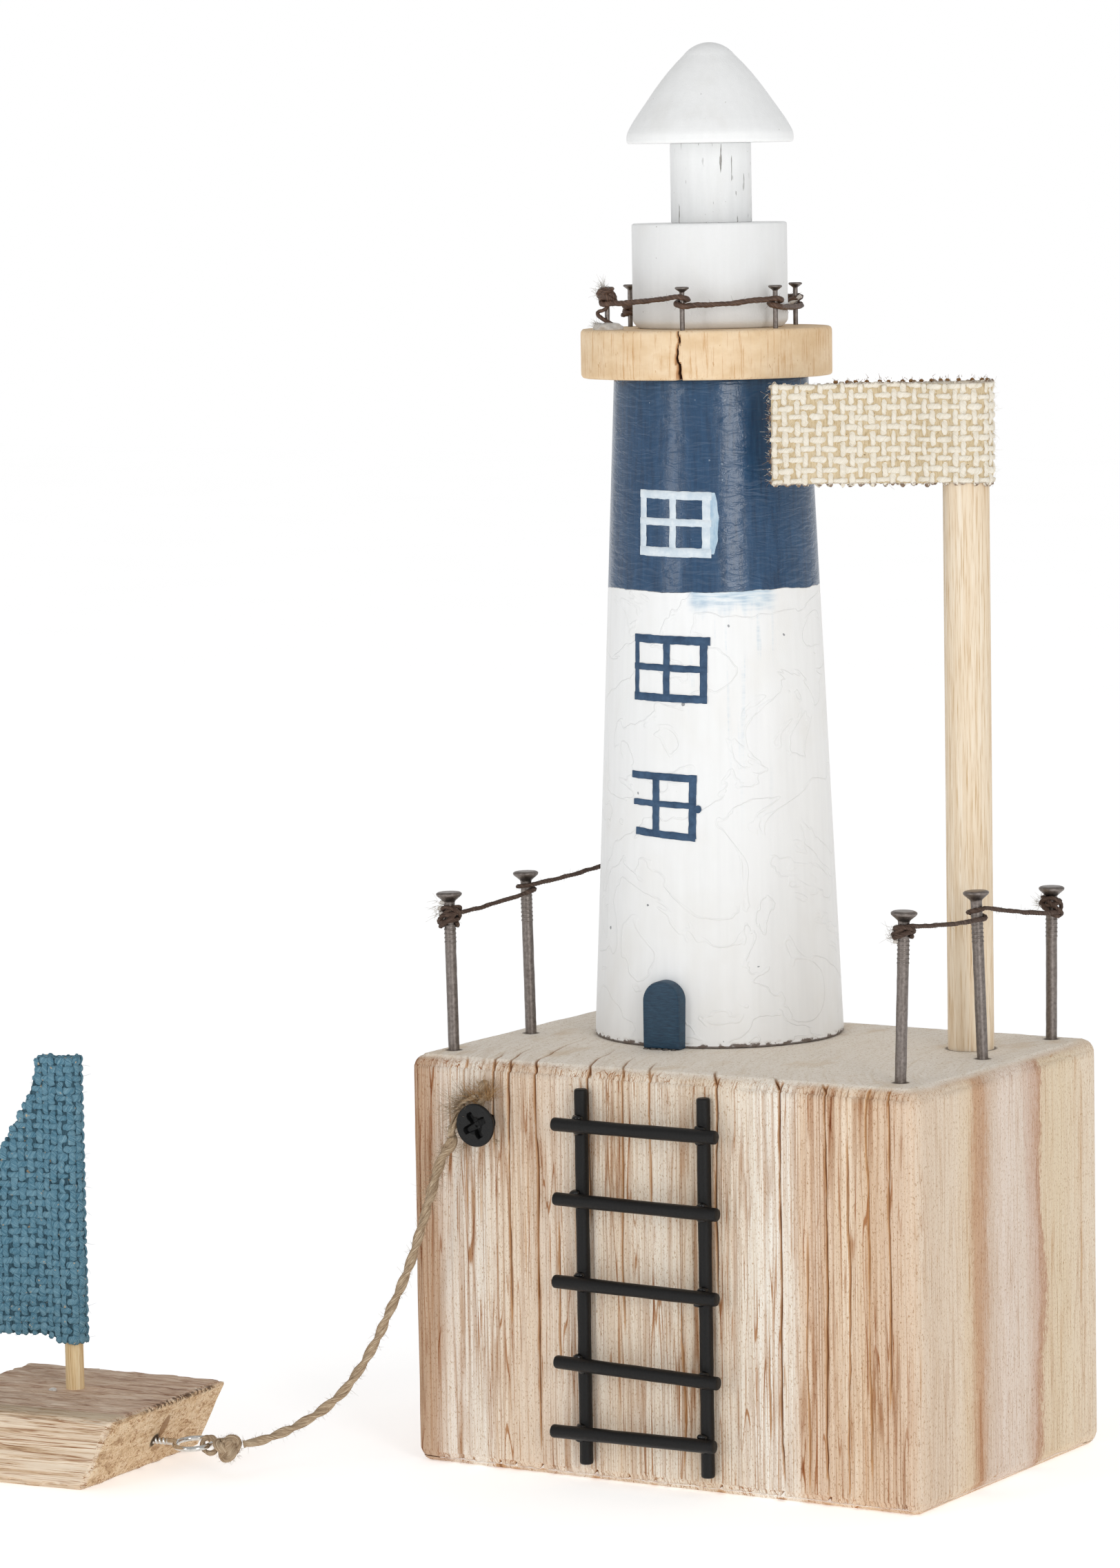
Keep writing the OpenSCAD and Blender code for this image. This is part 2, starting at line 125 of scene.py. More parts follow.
GALLERY_TWINE = [(7.4, 5.5), (7.2, 5.2), (6.4, 4.5), (4.2, 6.2), (6.7, 5), (4.9, 3)]
POLE = (43.7, 16.3)
POLE_R = 4.97
POLE_H = 141.0
FLAG_TOP = BLOCK[2] + POLE_H + 1
FLAG_H = 22.0
FLAG_REACH = 41.3
FLAG_TURN = 208
SCREW = (-41.6, 75.0)
TETHER_START = (-48, -46, 72)
TETHER_BENDS = [(-48, -46, 70.6), (-50, -47.3, 67), (-51.5, -50, 58.5), (-53.5, -51.5, 50.5),
                (-55.7, -53, 42.8), (-58.7, -55, 35), (-62, -57.5, 26.7), (-67, -61, 18),
                (-73.5, -65.3, 12), (-80.3, -69.5, 8.4)]
KNOT = np.array((-87.8, -74.4, 6.4))
KNOT_R = 3.4
WRAP = [(-40.5, -45, 84), (-41, -44.2, 81.5), (-42.3, -43.5, 79.2), (-44.5, -43.4, 77.6),
        (-46.6, -44, 76.2), (-47.8, -45, 74.6), (-48, -46, 73.2), (-48, -46, 72.3)]
BOAT = (-126.5, -77.5)
BOAT_TURN = 4.5
HULL = (51.5, 49.0, 16.0)
HULL_RAKE = 8.0
EYE_Z = 6.7
MAST = (-0.5, 3.0)
MAST_R = 2.15
SAIL_FOOT_Z = 25.6
SAIL_H = 63.0

# ---------------------------------------------------------------- shapes


def value_noise(points, seed=0):
    """Smooth noise from -1 to 1 at each row of points."""
    points = np.asarray(points, float)
    base = np.floor(points).astype(np.int64)
    part = points - base
    part = part * part * (3 - 2 * part)
    total = np.zeros(len(points))
    for corner in range(8):
        step = np.array([corner & 1, corner >> 1 & 1, corner >> 2])
        cell = base + step
        mixed = cell[:, 0] * 374761393 + cell[:, 1] * 668265263 + cell[:, 2] * 1274126177
        mixed = (mixed + seed * 144665) & 0xFFFFFFFF
        mixed = ((mixed ^ (mixed >> 13)) * 1103515245) & 0xFFFFFFFF
        mixed = mixed ^ (mixed >> 16)
        weight = np.prod(np.where(step, part, 1 - part), axis=1)
        total += ((mixed & 0xFFFF) / 32767.5 - 1) * weight
    return total


def field(seed, *where):
    """Smooth noise at coordinates that are numbers or arrays. Those left out are 0."""
    where = np.broadcast_arrays(*where, *[0.0] * (3 - len(where)))
    return value_noise(np.stack(where, -1).reshape(-1, 3), seed).reshape(where[0].shape)


def noise_line(x, seed=0, scale=1.0):
    """Smooth noise along one number."""
    return field(seed, np.atleast_1d(np.asarray(x, float)) / scale)


def xyz(x, y, z):
    """Points from their coordinates, each a number or an array."""
    return np.stack(np.broadcast_arrays(x, y, z), -1)


def clamp(x):
    return np.clip(x, 0, 1)


def circle(n):
    """The angles of n points round a circle."""
    return np.linspace(0, 2 * np.pi, n, endpoint=False)


def rotated(x, y, degrees):
    c, s = math.cos(math.radians(degrees)), math.sin(math.radians(degrees))
    return x * c - y * s, x * s + y * c


def on_circle(centre, r, degrees):
    return centre[0] + r * math.cos(math.radians(degrees)), centre[1] + r * math.sin(math.radians(degrees))


class Shape:
    """Collects parts of one mesh, with a point attribute that says where a point lies on its fibre."""

    def __init__(self):
        self.points = []
        self.fibres = []
        self.faces = []
        self.count = 0

    def add(self, points, faces, fibre=None):
        points = np.asarray(points, float).reshape(-1, 3)
        self.points.append(points)
        self.fibres.append(points if fibre is None else np.asarray(fibre, float).reshape(-1, 3))
        first = self.count
        self.faces.extend([tuple(first + i for i in face) for face in faces])
        self.count += len(points)

    def grid(self, points, closed_u=False, fibre=None, caps=True):
        """points is rows x columns x 3. With closed_u each row is a ring."""
        rows, cols = points.shape[:2]
        index = np.arange(rows * cols).reshape(rows, cols)
        right = np.roll(index, -1, axis=1) if closed_u else index[:, 1:]
        left = index if closed_u else index[:, :-1]
        quads = np.stack([left[:-1], right[:-1], right[1:], left[1:]], axis=-1).reshape(-1, 4)
        faces = quads.tolist()
        if closed_u and caps:
            faces.append(index[0, ::-1].tolist())
            faces.append(index[-1].tolist())
        self.add(points, faces, fibre)

    def build(self, name, material, body, slot, sharp=None, replaces=()):
        mesh = bpy.data.meshes.new(name)
        points = np.concatenate(self.points) * MM
        mesh.from_pydata(points.tolist(), [], self.faces)
        mesh.validate()
        mesh.update()
        mesh.shade_smooth()
        if sharp:
            mesh.set_sharp_from_angle(angle=math.radians(sharp))
        layer = mesh.attributes.new("fibre", "FLOAT_VECTOR", "POINT")
        layer.data.foreach_set("vector", np.concatenate(self.fibres).ravel().astype(np.float32))
        mesh.materials.append(material)
        piece = bpy.data.objects.new(name, mesh)
        scene.collection.objects.link(piece)
        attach(piece, body)
        if replaces:
            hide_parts(*replaces)
        return piece


def unit(v):
    v = np.asarray(v, float)
    return v / np.maximum(np.linalg.norm(v, axis=-1, keepdims=True), 1e-12)


def smooth_path(points, steps):
    """A curve through points, with the given number of steps between each two."""
    p = np.asarray(points, float)
    out = []
    last = len(p) - 1
    for i in range(last):
        a, b, c, d = p[max(i - 1, 0)], p[i], p[i + 1], p[min(i + 2, last)]
        for k in range(steps):
            f = k / steps
            out.append((2 * b + (c - a) * f + (2 * a - 5 * b + 4 * c - d) * f * f
                        + (3 * b - 3 * c + d - a) * f ** 3) / 2)
    out.append(p[last])
    return np.array(out)


def distances(path):
    """How far along a path each of its points lies."""
    return np.concatenate([[0], np.cumsum(np.linalg.norm(np.diff(path, axis=0), axis=1))])


def resample(path, step):
    """Evenly spaced points along a path."""
    run = distances(path)
    count = max(2, int(round(run[-1] / step)) + 1)
    at = np.linspace(0, run[-1], count)
    return np.stack([np.interp(at, run, path[:, k]) for k in range(3)], axis=1)


def path_length(path):
    return float(np.linalg.norm(np.diff(path, axis=0), axis=1).sum())


def side_frames(path):
    along = unit(np.gradient(path, axis=0))
    start = np.array([0, 0, 1.0]) if abs(along[0][2]) < 0.9 else np.array([1.0, 0, 0])
    side = unit(np.cross(along[0], start))
    sides = [side]
    for t in along[1:]:
        side = unit(side - np.dot(side, t) * t)
        sides.append(side)
    sides = np.array(sides)
    return along, sides, np.cross(along, sides)


def tube(path, side, up, across, over):
    """Rings of points round a path. across and over are their reach along side and up."""
    return path[:, None] + across[..., None] * side[:, None] + over[..., None] * up[:, None]


def spun(radius, angle, run):
    """Where points lie on a round fibre: two numbers across it, and one along it."""
    return xyz(radius * np.cos(angle), radius * np.sin(angle), run[:, None])


def twisted(shape, path, radius, plies=2, pitch=10.0, sides=24, depth=0.38, rough=0.03, seed=0,
            taper=None):
    """A laid cord along a path: round plies that wind about each other."""
    run = distances(path)
    _, side, up = side_frames(path)
    angle = circle(sides)
    turn = 2 * np.pi * run[:, None] / pitch
    from_ply = np.mod(angle - turn + np.pi / plies, 2 * np.pi / plies) - np.pi / plies
    ply_r = 1 - depth
    outline = depth * np.cos(from_ply) + np.sqrt(
        np.maximum(ply_r ** 2 - (depth * np.sin(from_ply)) ** 2, 0.05))
    lumps = field(seed, run[:, None] / 2.2, np.cos(angle) * 1.3, np.sin(angle) * 1.3)
    r = radius * outline * (1 - rough + rough * 2 * lumps)
    if taper is not None:
        r = r * taper(run / run[-1])[:, None]
    points = tube(path, side, up, r * np.cos(angle), r * np.sin(angle))
    shape.grid(points, closed_u=True, fibre=spun(radius, angle - turn, run))


def hair(shape, start, heading, length, radius, curl, steps=4):
    """One loose fibre."""
    bend = RNG.normal(size=3)
    f = np.linspace(0, 1, steps + 1)[:, None]
    path = start + unit(heading) * length * f + bend * curl * length * f ** 2
    _, side, up = side_frames(path)
    angle = circle(3)
    r = radius * (1 - 0.6 * f)
    shape.grid(tube(path, side, up, r * np.cos(angle), r * np.sin(angle)), closed_u=True)


def fuzz(shape, path, radius, per_mm, length, thick=0.035, curl=0.35, lean=0.8):
    """Short loose fibres standing off a cord."""
    along, side, up = side_frames(path)
    count = int(path_length(path) * per_mm)
    for _ in range(count):
        i = int(RNG.integers(0, len(path)))
        a = RNG.uniform(0, 2 * np.pi)
        out = math.cos(a) * side[i] + math.sin(a) * up[i]
        start = path[i] + out * radius * 0.75
        way = out + along[i] * RNG.normal() * lean
        hair(shape, start, way, length * RNG.uniform(0.4, 1), thick, curl)


def lathe(shape, centre, profile, segments=128, bumps=0.0, seed=0, scale=6.0, tilt=0.0, stretch=1.0):
    """Turns (radius, height) points about an upright axis that leans by tilt degrees towards +X."""
    profile = np.asarray(profile, float)
    angle = circle(segments)
    r = np.maximum(profile[:, :1], 0.004) * np.ones(segments)
    z = profile[:, 1:] * np.ones(segments)
    x, y = r * np.cos(angle), r * np.sin(angle)
    if bumps:
        grow = (field(seed, x / scale, y / scale, z / stretch / scale) - 1) * bumps * (r > 0.1)
        x, y = x + grow * np.cos(angle), y + grow * np.sin(angle)
    x, z = rotated(x, z, -tilt)
    shape.grid(xyz(centre[0] + x, centre[1] + y, centre[2] + z), closed_u=True)


def add_turned(name, node, material, slot, centre, profile, segments, bumps, seed, scale, stretch=1.0,
               sharp=50, body="root"):
    """A turned piece that replaces a CAD node."""
    shape = Shape()
    lathe(shape, centre, profile, segments, bumps, seed, scale, stretch=stretch)
    shape.build(name, material, body, slot, sharp=sharp, replaces=[node])


def rounded(profile, radius, steps=5):
    """Rounds the corners of an outline of (radius, height) points."""
    out = [np.array(profile[0], float)]
    for a, b, c in zip(profile, profile[1:], profile[2:]):
        a, b, c = (np.array(q, float) for q in (a, b, c))
        cut = min(radius, np.linalg.norm(a - b) * 0.45, np.linalg.norm(c - b) * 0.45)
        first = b + unit(a - b) * cut
        last = b + unit(c - b) * cut
        for k in range(steps + 1):
            f = k / steps
            out.append((1 - f) ** 2 * first + 2 * f * (1 - f) * b + f * f * last)
    out.append(np.array(profile[-1], float))
    return out


def split_long(profile, step):
    """Adds points so that no stretch of an outline is longer than step."""
    out = [np.array(profile[0], float)]
    for a, b in zip(profile, profile[1:]):
        a, b = np.array(a, float), np.array(b, float)
        n = max(1, int(math.ceil(np.linalg.norm(b - a) / step)))
        out.extend(a + (b - a) * k / n for k in range(1, n + 1))
    return out

# ---------------------------------------------------------------- materials


def srgb(text):
    parts = [int(text[i:i + 2], 16) / 255 for i in (0, 2, 4)]
    return tuple(c / 12.92 if c <= 0.04045 else ((c + 0.055) / 1.055) ** 2.4 for c in parts) + (1.0,)


class Wire:
    """A node's output. Arithmetic on it adds Math nodes."""

    def __init__(self, finish, socket):
        self.finish = finish
        self.socket = socket

    def __add__(self, other):
        return self.finish.math("ADD", self, other)

    def __radd__(self, other):
        return self.finish.math("ADD", other, self)

    def __sub__(self, other):
        return self.finish.math("SUBTRACT", self, other)

    def __rsub__(self, other):
        return self.finish.math("SUBTRACT", other, self)

    def __mul__(self, other):
        return self.finish.math("MULTIPLY", self, other)

    def __truediv__(self, other):
        return self.finish.math("DIVIDE", self, other)


class Finish:
    """A node material, with short calls for the nodes it is built from."""

    def __init__(self, name, roughness=0.7, specular=0.5, **fixed):
        self.material = bpy.data.materials.new(name)
        self.material.use_nodes = True
        self.tree = self.material.node_tree
        self.shader = self.tree.nodes["Principled BSDF"]
        self.shader.inputs["Roughness"].default_value = roughness
        self.shader.inputs["Specular IOR Level"].default_value = specular
        for key, value in fixed.items():
            self.shader.inputs[key.replace("_", " ")].default_value = value
        place = self.node("TexCoord", output="Object")
        self.mm = self.vector("SCALE", place, scale=1000.0)
        self.bumps = None

    def node(self, kind, inputs=None, output=0, **settings):
        """Adds a node with the given inputs and settings, and gives the output asked for."""
        node = self.tree.nodes.new("ShaderNode" + kind)
        for key, value in settings.items():
            setattr(node, key, value)
        for key, value in (inputs or {}).items():
            self.put(node.inputs[key], value)
        return Wire(self, node.outputs[output])

    def put(self, socket, value):
        if isinstance(value, Wire):
            self.tree.links.new(value.socket, socket)
        else:
            socket.default_value = srgb(value) if isinstance(value, str) else value

    def vector(self, operation, a, b=(0, 0, 0), scale=1.0):
        number = operation in ("LENGTH", "DISTANCE", "DOT_PRODUCT")
        return self.node("VectorMath", {0: a, 1: b, 3: scale}, "Value" if number else "Vector",
                         operation=operation)

    def math(self, operation, a, b=0.0):
        return self.node("Math", {0: a, 1: b}, operation=operation)

    def axis(self, vector, name):
        return self.node("SeparateXYZ", {0: vector}, name)

    def join(self, x, y, z):
        return self.node("CombineXYZ", {0: x, 1: y, 2: z})

    def fibre(self):
        return self.node("Attribute", output="Vector", attribute_name="fibre")

    def noise(self, vector, stretch=(1, 1, 1), detail=3.0, rough=0.55, distort=0.0):
        return self.node("TexNoise", {"Vector": self.vector("MULTIPLY", vector, stretch), "Scale": 1.0,
                                      "Detail": detail, "Roughness": rough, "Distortion": distort}, "Fac")

    def contour(self, value, wide):
        """1 on the thin lines where value passes one half, 0 elsewhere."""
        return 1 - self.step(self.math("ABSOLUTE", value - 0.5), wide * 0.3, wide)

    def ramp(self, fac, stops):
        ramp = self.node("ValToRGB", {0: fac})
        elements = ramp.socket.node.color_ramp.elements
        while len(elements) < len(stops):
            elements.new(0.5)
        for element, (at, colour) in zip(elements, stops):
            element.position = at
            element.color = srgb(colour)
        return ramp

    def step(self, value, low, high):
        """0 below low and 1 above high, smooth between."""
        return self.node("MapRange", {"Value": value, "From Min": low, "From Max": high},
                         interpolation_type="SMOOTHSTEP")

    def mix(self, fac, a, b, blend="MIX"):
        return self.node("Mix", {0: fac, 6: a, 7: b}, 2, data_type="RGBA", blend_type=blend)

    def times(self, a, b):
        """One colour tinted by another."""
        return self.mix(1.0, a, b, "MULTIPLY")

    def bump(self, height, distance, strength=1.0):
        """distance is in millimetres."""
        inputs = {"Strength": strength, "Distance": distance * MM, "Height": height}
        if self.bumps is not None:
            inputs["Normal"] = self.bumps
        self.bumps = self.node("Bump", inputs)
        self.put(self.shader.inputs["Normal"], self.bumps)

    def colour(self, value):
        self.put(self.shader.inputs["Base Color"], value)

    def roughness(self, value):
        self.put(self.shader.inputs["Roughness"], value)


PITH = (110.0, 12.0)                         # the centre of the block's growth rings, seen from above


def block_finish():
    """Brushed softwood: bands of the growth rings, thin brown grooves, and end grain on top."""
    f = Finish("block_wood", roughness=0.8, specular=0.2)
    p = f.mm
    x, y, z = (f.axis(p, k) for k in "XYZ")
    marks = f.fibre()
    groove, fissure = f.axis(marks, "X"), f.axis(marks, "Y")
    drift = f.noise(p, (0.07, 0.07, 0.016), detail=4, rough=0.6) - 0.5
    across = (x + 60.0 + drift * 8.0) / 122.0
    front = f.ramp(across, [
        (0.00, "C5A98F"), (0.035, "CAB099"), (0.065, "EFE6DB"), (0.13, "F1EBE1"), (0.19, "EBDCC9"),
        (0.26, "E7D7C5"), (0.33, "F0E7DA"), (0.41, "EDDFCC"), (0.50, "F3EBDE"), (0.58, "E6D7C3"),
        (0.64, "F0E6D7"), (0.70, "F9F5EC"), (0.755, "F5EEE3"), (0.775, "E8D3BC"), (0.81, "E5CFB9"),
        (0.845, "E9D4BC"), (0.86, "F3E4D0"), (0.90, "E3CAAF"), (0.935, "E1C9B1"), (1.0, "E7D4BF")])
    blur = (f.noise(p, (1.3, 1.3, 0.5), detail=3, rough=0.7) - 0.5) * 6.0
    drifted = y + (drift * 13.0 + blur)
    along = (drifted + 42.0) / 85.0
    side = f.ramp(along, [
        (0.00, "E2D0BC"), (0.10, "E1D1BE"), (0.20, "E6D7C4"), (0.26, "E3D1B8"), (0.31, "CBA88A"),
        (0.335, "C9A88D"), (0.38, "DBCABA"), (0.45, "E5D8CD"), (0.56, "E3D6CA"), (0.615, "D5BDAD"),
        (0.64, "C19D84"), (0.655, "E0CFB6"), (0.76, "E4D5BC"), (0.90, "E8DAC6"), (1.0, "E6D8C5")])
    colour = f.mix(f.step(x, 59.6, 60.9), front, side)
    ring = f.vector("LENGTH", f.join(x - PITH[0], y - PITH[1], 0.0))
    grain = f.join(x, y, z * 0.022)
    fine = f.noise(grain, (3.6, 2.4, 2.2), detail=5, rough=0.75)
    colour = f.times(colour, f.ramp(fine, [(0.28, "C9AD92"), (0.42, "F7F0E8"), (0.56, "FFFFFF"),
                                           (0.8, "FBF6F0")]))
    on_front = 1 - f.step(x, 57.0, 60.5) * 0.75
    for pitch, wide, deep in ((1.0, 0.020, 0.75), (0.5, 0.013, 0.85), (0.25, 0.008, 0.9)):
        wavy = f.noise(f.join(x, y * 0.7, z * 0.018), (pitch, pitch, 0.6), detail=1.5, rough=0.4)
        broken = f.step(f.noise(grain, (0.25, 0.25, 1.6), detail=3), 0.38, 0.56)
        strength = broken * on_front * deep
        colour = f.mix(f.contour(wavy, wide) * strength, colour, f.times(colour, "BE8F62"))
    sand = f.noise(p, (3.4, 3.4, 1.5), detail=3, rough=0.7)
    colour = f.times(colour, f.ramp(sand, [(0.32, "CDB499"), (0.45, "FFFFFF"), (0.6, "FFFFFF"),
                                           (0.74, "F3E6D6")]))
    streak = f.noise(grain, (1.1, 0.30, 1.0), detail=5, rough=0.55)
    colour = f.mix(f.step(streak, 0.6, 0.72) * 0.7, colour, f.times(colour, "DDBF9F"))
    colour = f.mix(groove * 0.85, colour, f.times(colour, "B98F66"))
    # The fissures' brown edges are the wood's own colour; their dark cores are partly painted shade inside
    # the cracks.
    colour = f.mix(f.step(fissure, 0.05, 0.38) * 0.75, colour, "BF8C58")
    colour = f.mix(f.step(fissure, 0.38, 0.78) * 0.9, colour, "7E5030")
    top = f.step(z, 87.3, 88.3)
    rings = f.noise(f.join(ring, y * 0.05, 0.0), (1.3, 1.0, 1.0), detail=5, rough=0.65)
    specks = f.noise(p, (2.2, 2.2, 2.2), detail=3, rough=0.75)
    end = f.ramp(rings, [(0.30, "EADDCB"), (0.44, "F2E8DA"), (0.60, "F6EDE1"), (0.78, "ECDFCE")])
    end = f.times(end, f.ramp(specks, [(0.34, "D6C8B6"), (0.46, "FFFFFF"), (0.7, "FFFFFF"),
                                       (0.78, "E8DCCB")]))
    pale = f.noise(p, (0.09, 0.05, 0.05), detail=4)
    end = f.mix(f.step(pale, 0.52, 0.7) * 0.5, end, "D9C09F")
    end = f.mix(groove * 0.3, end, "B79670")
    end = f.mix(f.step(fissure, 0.1, 0.55) * 0.75, end, "A47850")
    colour = f.mix(top, colour, end)
    low = f.step(3.0 - (z + streak * 4.0), 0.0, 3.0)
    colour = f.mix(low * 0.3, colour, "9A8069")
    # Painted shade: dark rings round the feet of the nails and the pole on the top, standing for the shade
    # in their holes.
    shaded_hole_rims = [(n[0], n[1], 1.3) for n in LEFT_NAILS + RIGHT_NAILS] + [(POLE[0], POLE[1], 5.0)]
    for fx, fy, fr in shaded_hole_rims:
        away = f.vector("DISTANCE", f.join(x, y, 0.0), (fx, fy, 0.0))
        near = (1 - f.step(away, fr + 0.15, fr + 0.9)) * top
        colour = f.mix(near * 0.8, colour, "43301F")
    f.colour(colour)
    f.bump(fine, 0.16, 0.8)
    f.bump(specks, 0.05, 0.7)
    return f.material


def white_finish(name, shades, scratches=0.0):
    """Matt white paint over turned wood. scratches is how much the wood's cracks show. Darker shades make a
    shaded copy of the paint: painted shade.
    """
    f = Finish(name, roughness=0.55, specular=0.3)
    strokes = f.noise(f.mm, (0.7, 0.7, 0.08), detail=3, rough=0.5)
    cloud = f.noise(f.mm, (0.10, 0.10, 0.05), detail=3)
    colour = f.ramp(strokes, list(zip((0.25, 0.5, 0.75), shades)))
    colour = f.mix(f.step(cloud, 0.5, 0.75) * 0.3, colour, "E2E1DD")
    speck = f.noise(f.mm, (1.1, 1.1, 1.1), detail=1, rough=0.4)
    colour = f.mix(f.step(speck, 0.8, 0.82) * 0.55, colour, "9C9890")
    split = f.noise(f.mm, (1.3, 1.3, 0.12), detail=3, rough=0.6)
    cracks = f.step(split, 0.655, 0.68) * scratches
    colour = f.mix(cracks, colour, "8E8B86")
    f.colour(colour)
    f.bump(f.noise(f.mm, (2.8, 2.8, 2.4), detail=3), 0.09, 0.7)
    f.bump(strokes, 0.03, 0.5)
    f.bump(1 - cracks, 0.25, 0.8)
    return f.material


def tower_finish():
    """White below and navy gloss above, with a pale blue smear under the join."""
    f = Finish("tower_paint", roughness=0.6, specular=0.65)
    p = f.vector("SUBTRACT", f.mm, (*TOWER, 0.0))
    x, y, z = (f.axis(p, k) for k in "XYZ")
    turn = f.math("ARCTAN2", y, x) * (180 / math.pi)
    strokes = f.noise(f.mm, (0.7, 0.7, 0.04), detail=3, rough=0.5)
    cloud = f.noise(f.mm, (0.07, 0.07, 0.05), detail=3)
    white = f.ramp(strokes, [(0.25, "EFF0F0"), (0.5, "F2F3F3"), (0.75, "F4F5F5")])
    white = f.mix(f.step(cloud, 0.48, 0.72) * 0.35, white, "E9E7E2")
    speck = f.noise(f.mm, (0.45, 0.45, 0.45), detail=1, rough=0.4)
    white = f.mix(f.step(speck, 0.8, 0.812) * 0.8, white, "6F7176")
    foot = 1 - f.step(z, BLOCK[2] + 0.3, BLOCK[2] + 1.6)
    grime = f.step(f.noise(f.mm, (0.5, 0.5, 0.8), detail=4), 0.45, 0.6)
    white = f.mix(foot * grime * 0.7, white, "8F7B66")
    # Painted shade: a thin dark line along the foot of the tower, where it meets the block.
    gap = 1 - f.step(z - (BLOCK[2] + 0.55 + grime * 0.5), -0.25, 0.05)
    white = f.mix(gap * 0.85, white, "54433A")
    inside = f.step(turn, -76.0, -70.0) * (1 - f.step(turn, -34.0, -22.0))
    ragged = f.noise(p, (0.45, 0.45, 0.10), detail=4)
    low = 178.5 + ragged * 6.0
    smear = inside * f.step(z - low, -1.0, 3.5)
    drips = f.noise(p, (0.5, 0.5, 0.018), detail=4)
    long = inside * f.step(z, 128.0, 180.0) * (f.step(drips, 0.54, 0.66) * 0.35)
    tint = f.math("MAXIMUM", smear * 0.8, long)
    white = f.mix(tint, white, f.ramp(f.noise(p, (0.16, 0.16, 1.3), detail=4, distort=0.4),
                                      [(0.35, "8FB2CB"), (0.52, "CBDCE7"), (0.66, "E9EFF2")]))
    wave = f.noise(p, (0.12, 0.12, 0.1), detail=4)
    edge = NAVY_Z + (wave - 0.5) * 1.6
    navy = f.step(z - edge, -0.12, 0.12)
    lumps = f.noise(p, (0.20, 0.20, 0.70), detail=2, rough=0.45, distort=0.9)
    brushed = f.noise(p, (1.1, 1.1, 0.12), detail=4, rough=0.6)
    blue = f.ramp(brushed, [(0.28, "143655"), (0.5, "1C4264"), (0.75, "254C70")])
    chip = f.noise(f.mm, (0.9, 0.9, 0.9), detail=2, rough=0.5)
    blue = f.mix(f.step(chip, 0.76, 0.785) * 0.5, blue, "A8B8C6")
    rub = f.noise(f.mm, (0.14, 0.14, 0.05), detail=6, rough=0.75)
    blue = f.mix(f.step(rub, 0.66, 0.7) * 0.45, blue, "8FA3B4")
    f.colour(f.mix(navy, white, blue))
    f.roughness(0.55 - navy * 0.31)
    f.bump(lumps * navy, 0.22, 1.0)
    f.bump(brushed * navy, 0.04, 0.6)
    ridges = f.contour(f.noise(f.mm, (0.045, 0.045, 0.06), detail=3, rough=0.5, distort=1.2), 0.012)
    f.bump(ridges * (1 - navy), 0.1, 0.8)
    f.bump(f.noise(f.mm, (3.0, 3.0, 2.2), detail=3), 0.05, 0.5)
    f.bump(strokes, 0.04, 0.5)
    f.bump(navy, 0.12, 0.7)
    return f.material


def paint_finish(name, dark, light, scale=(0.3, 0.3, 2.5), rough=0.5, bump=0.1, shine=0.4):
    """Brushed paint, dye or glue in two shades."""
    f = Finish(name, roughness=rough, specular=shine)
    strokes = f.noise(f.mm, scale, detail=4, rough=0.65)
    f.colour(f.ramp(strokes, [(0.3, dark), (0.7, light)]))
    f.bump(strokes, bump, 0.7)
    return f.material


def grain_finish(name, dark, mid, light, scale=1.0, axis="Z", lines="B98E57", line_at=0.70, spec=0.3):
    """Plain bare wood with its fibres along one axis."""
    f = Finish(name, roughness=0.65, specular=spec)
    k = {"X": (0.03, 1.0, 1.0), "Y": (1.0, 0.03, 1.0), "Z": (1.0, 1.0, 0.03)}[axis]
    stretch = tuple(v * scale for v in k)
    grain = f.noise(f.mm, stretch, detail=5, rough=0.6, distort=0.3)
    fine = f.noise(f.mm, tuple(v * 4 for v in stretch), detail=3, rough=0.6)
    colour = f.ramp(grain, [(0.3, dark), (0.5, mid), (0.68, light)])
    colour = f.times(colour, f.ramp(fine, [(0.3, "DCC9AE"), (0.5, "FFFFFF")]))
    pores = f.noise(f.mm, tuple(v * 2 for v in stretch), detail=2, rough=0.5)
    colour = f.mix(f.step(pores, line_at, line_at + 0.05) * 0.7, colour, lines)
    f.colour(colour)
    f.bump(fine, 0.05, 0.6)
    f.bump(grain, 0.10, 0.4)
    return f.material


def gallery_finish():
    """The rim of a pale slice of branch: long stains, fine upright marks and an orange crack whose dark core
    is partly painted shade.
    """
    f = Finish("gallery_wood", roughness=0.7, specular=0.25)
    p = f.vector("SUBTRACT", f.mm, (*GALLERY_C, GALLERY_Z))
    cloud = f.noise(p, (0.10, 0.10, 0.16), detail=4, rough=0.6)
    fine = f.noise(p, (1.5, 1.5, 0.09), detail=5, rough=0.7)
    colour = f.ramp(cloud, [(0.30, "DDBE96"), (0.46, "E5C9A4"), (0.60, "EDD5B4"), (0.75, "E1C299")])
    colour = f.times(colour, f.ramp(fine, [(0.3, "DEC19C"), (0.47, "FFFFFF"), (0.7, "FFFDF8")]))
    pits = f.noise(p, (1.4, 1.4, 0.5), detail=2, rough=0.5)
    colour = f.mix(f.step(pits, 0.7, 0.74) * 0.6, colour, "B9854E")
    crack = f.axis(f.fibre(), "X")
    colour = f.mix(f.step(crack, 0.02, 0.35) * 0.6, colour, "C98F55")
    # The crack's dark core: partly the wood's own colour, partly painted shade inside the crack.
    colour = f.mix(f.step(crack, 0.45, 0.80), colour, "4A2E1B")
    f.colour(colour)
    f.bump(fine, 0.06, 0.6)
    f.bump(cloud, 0.15, 0.4)
    return f.material


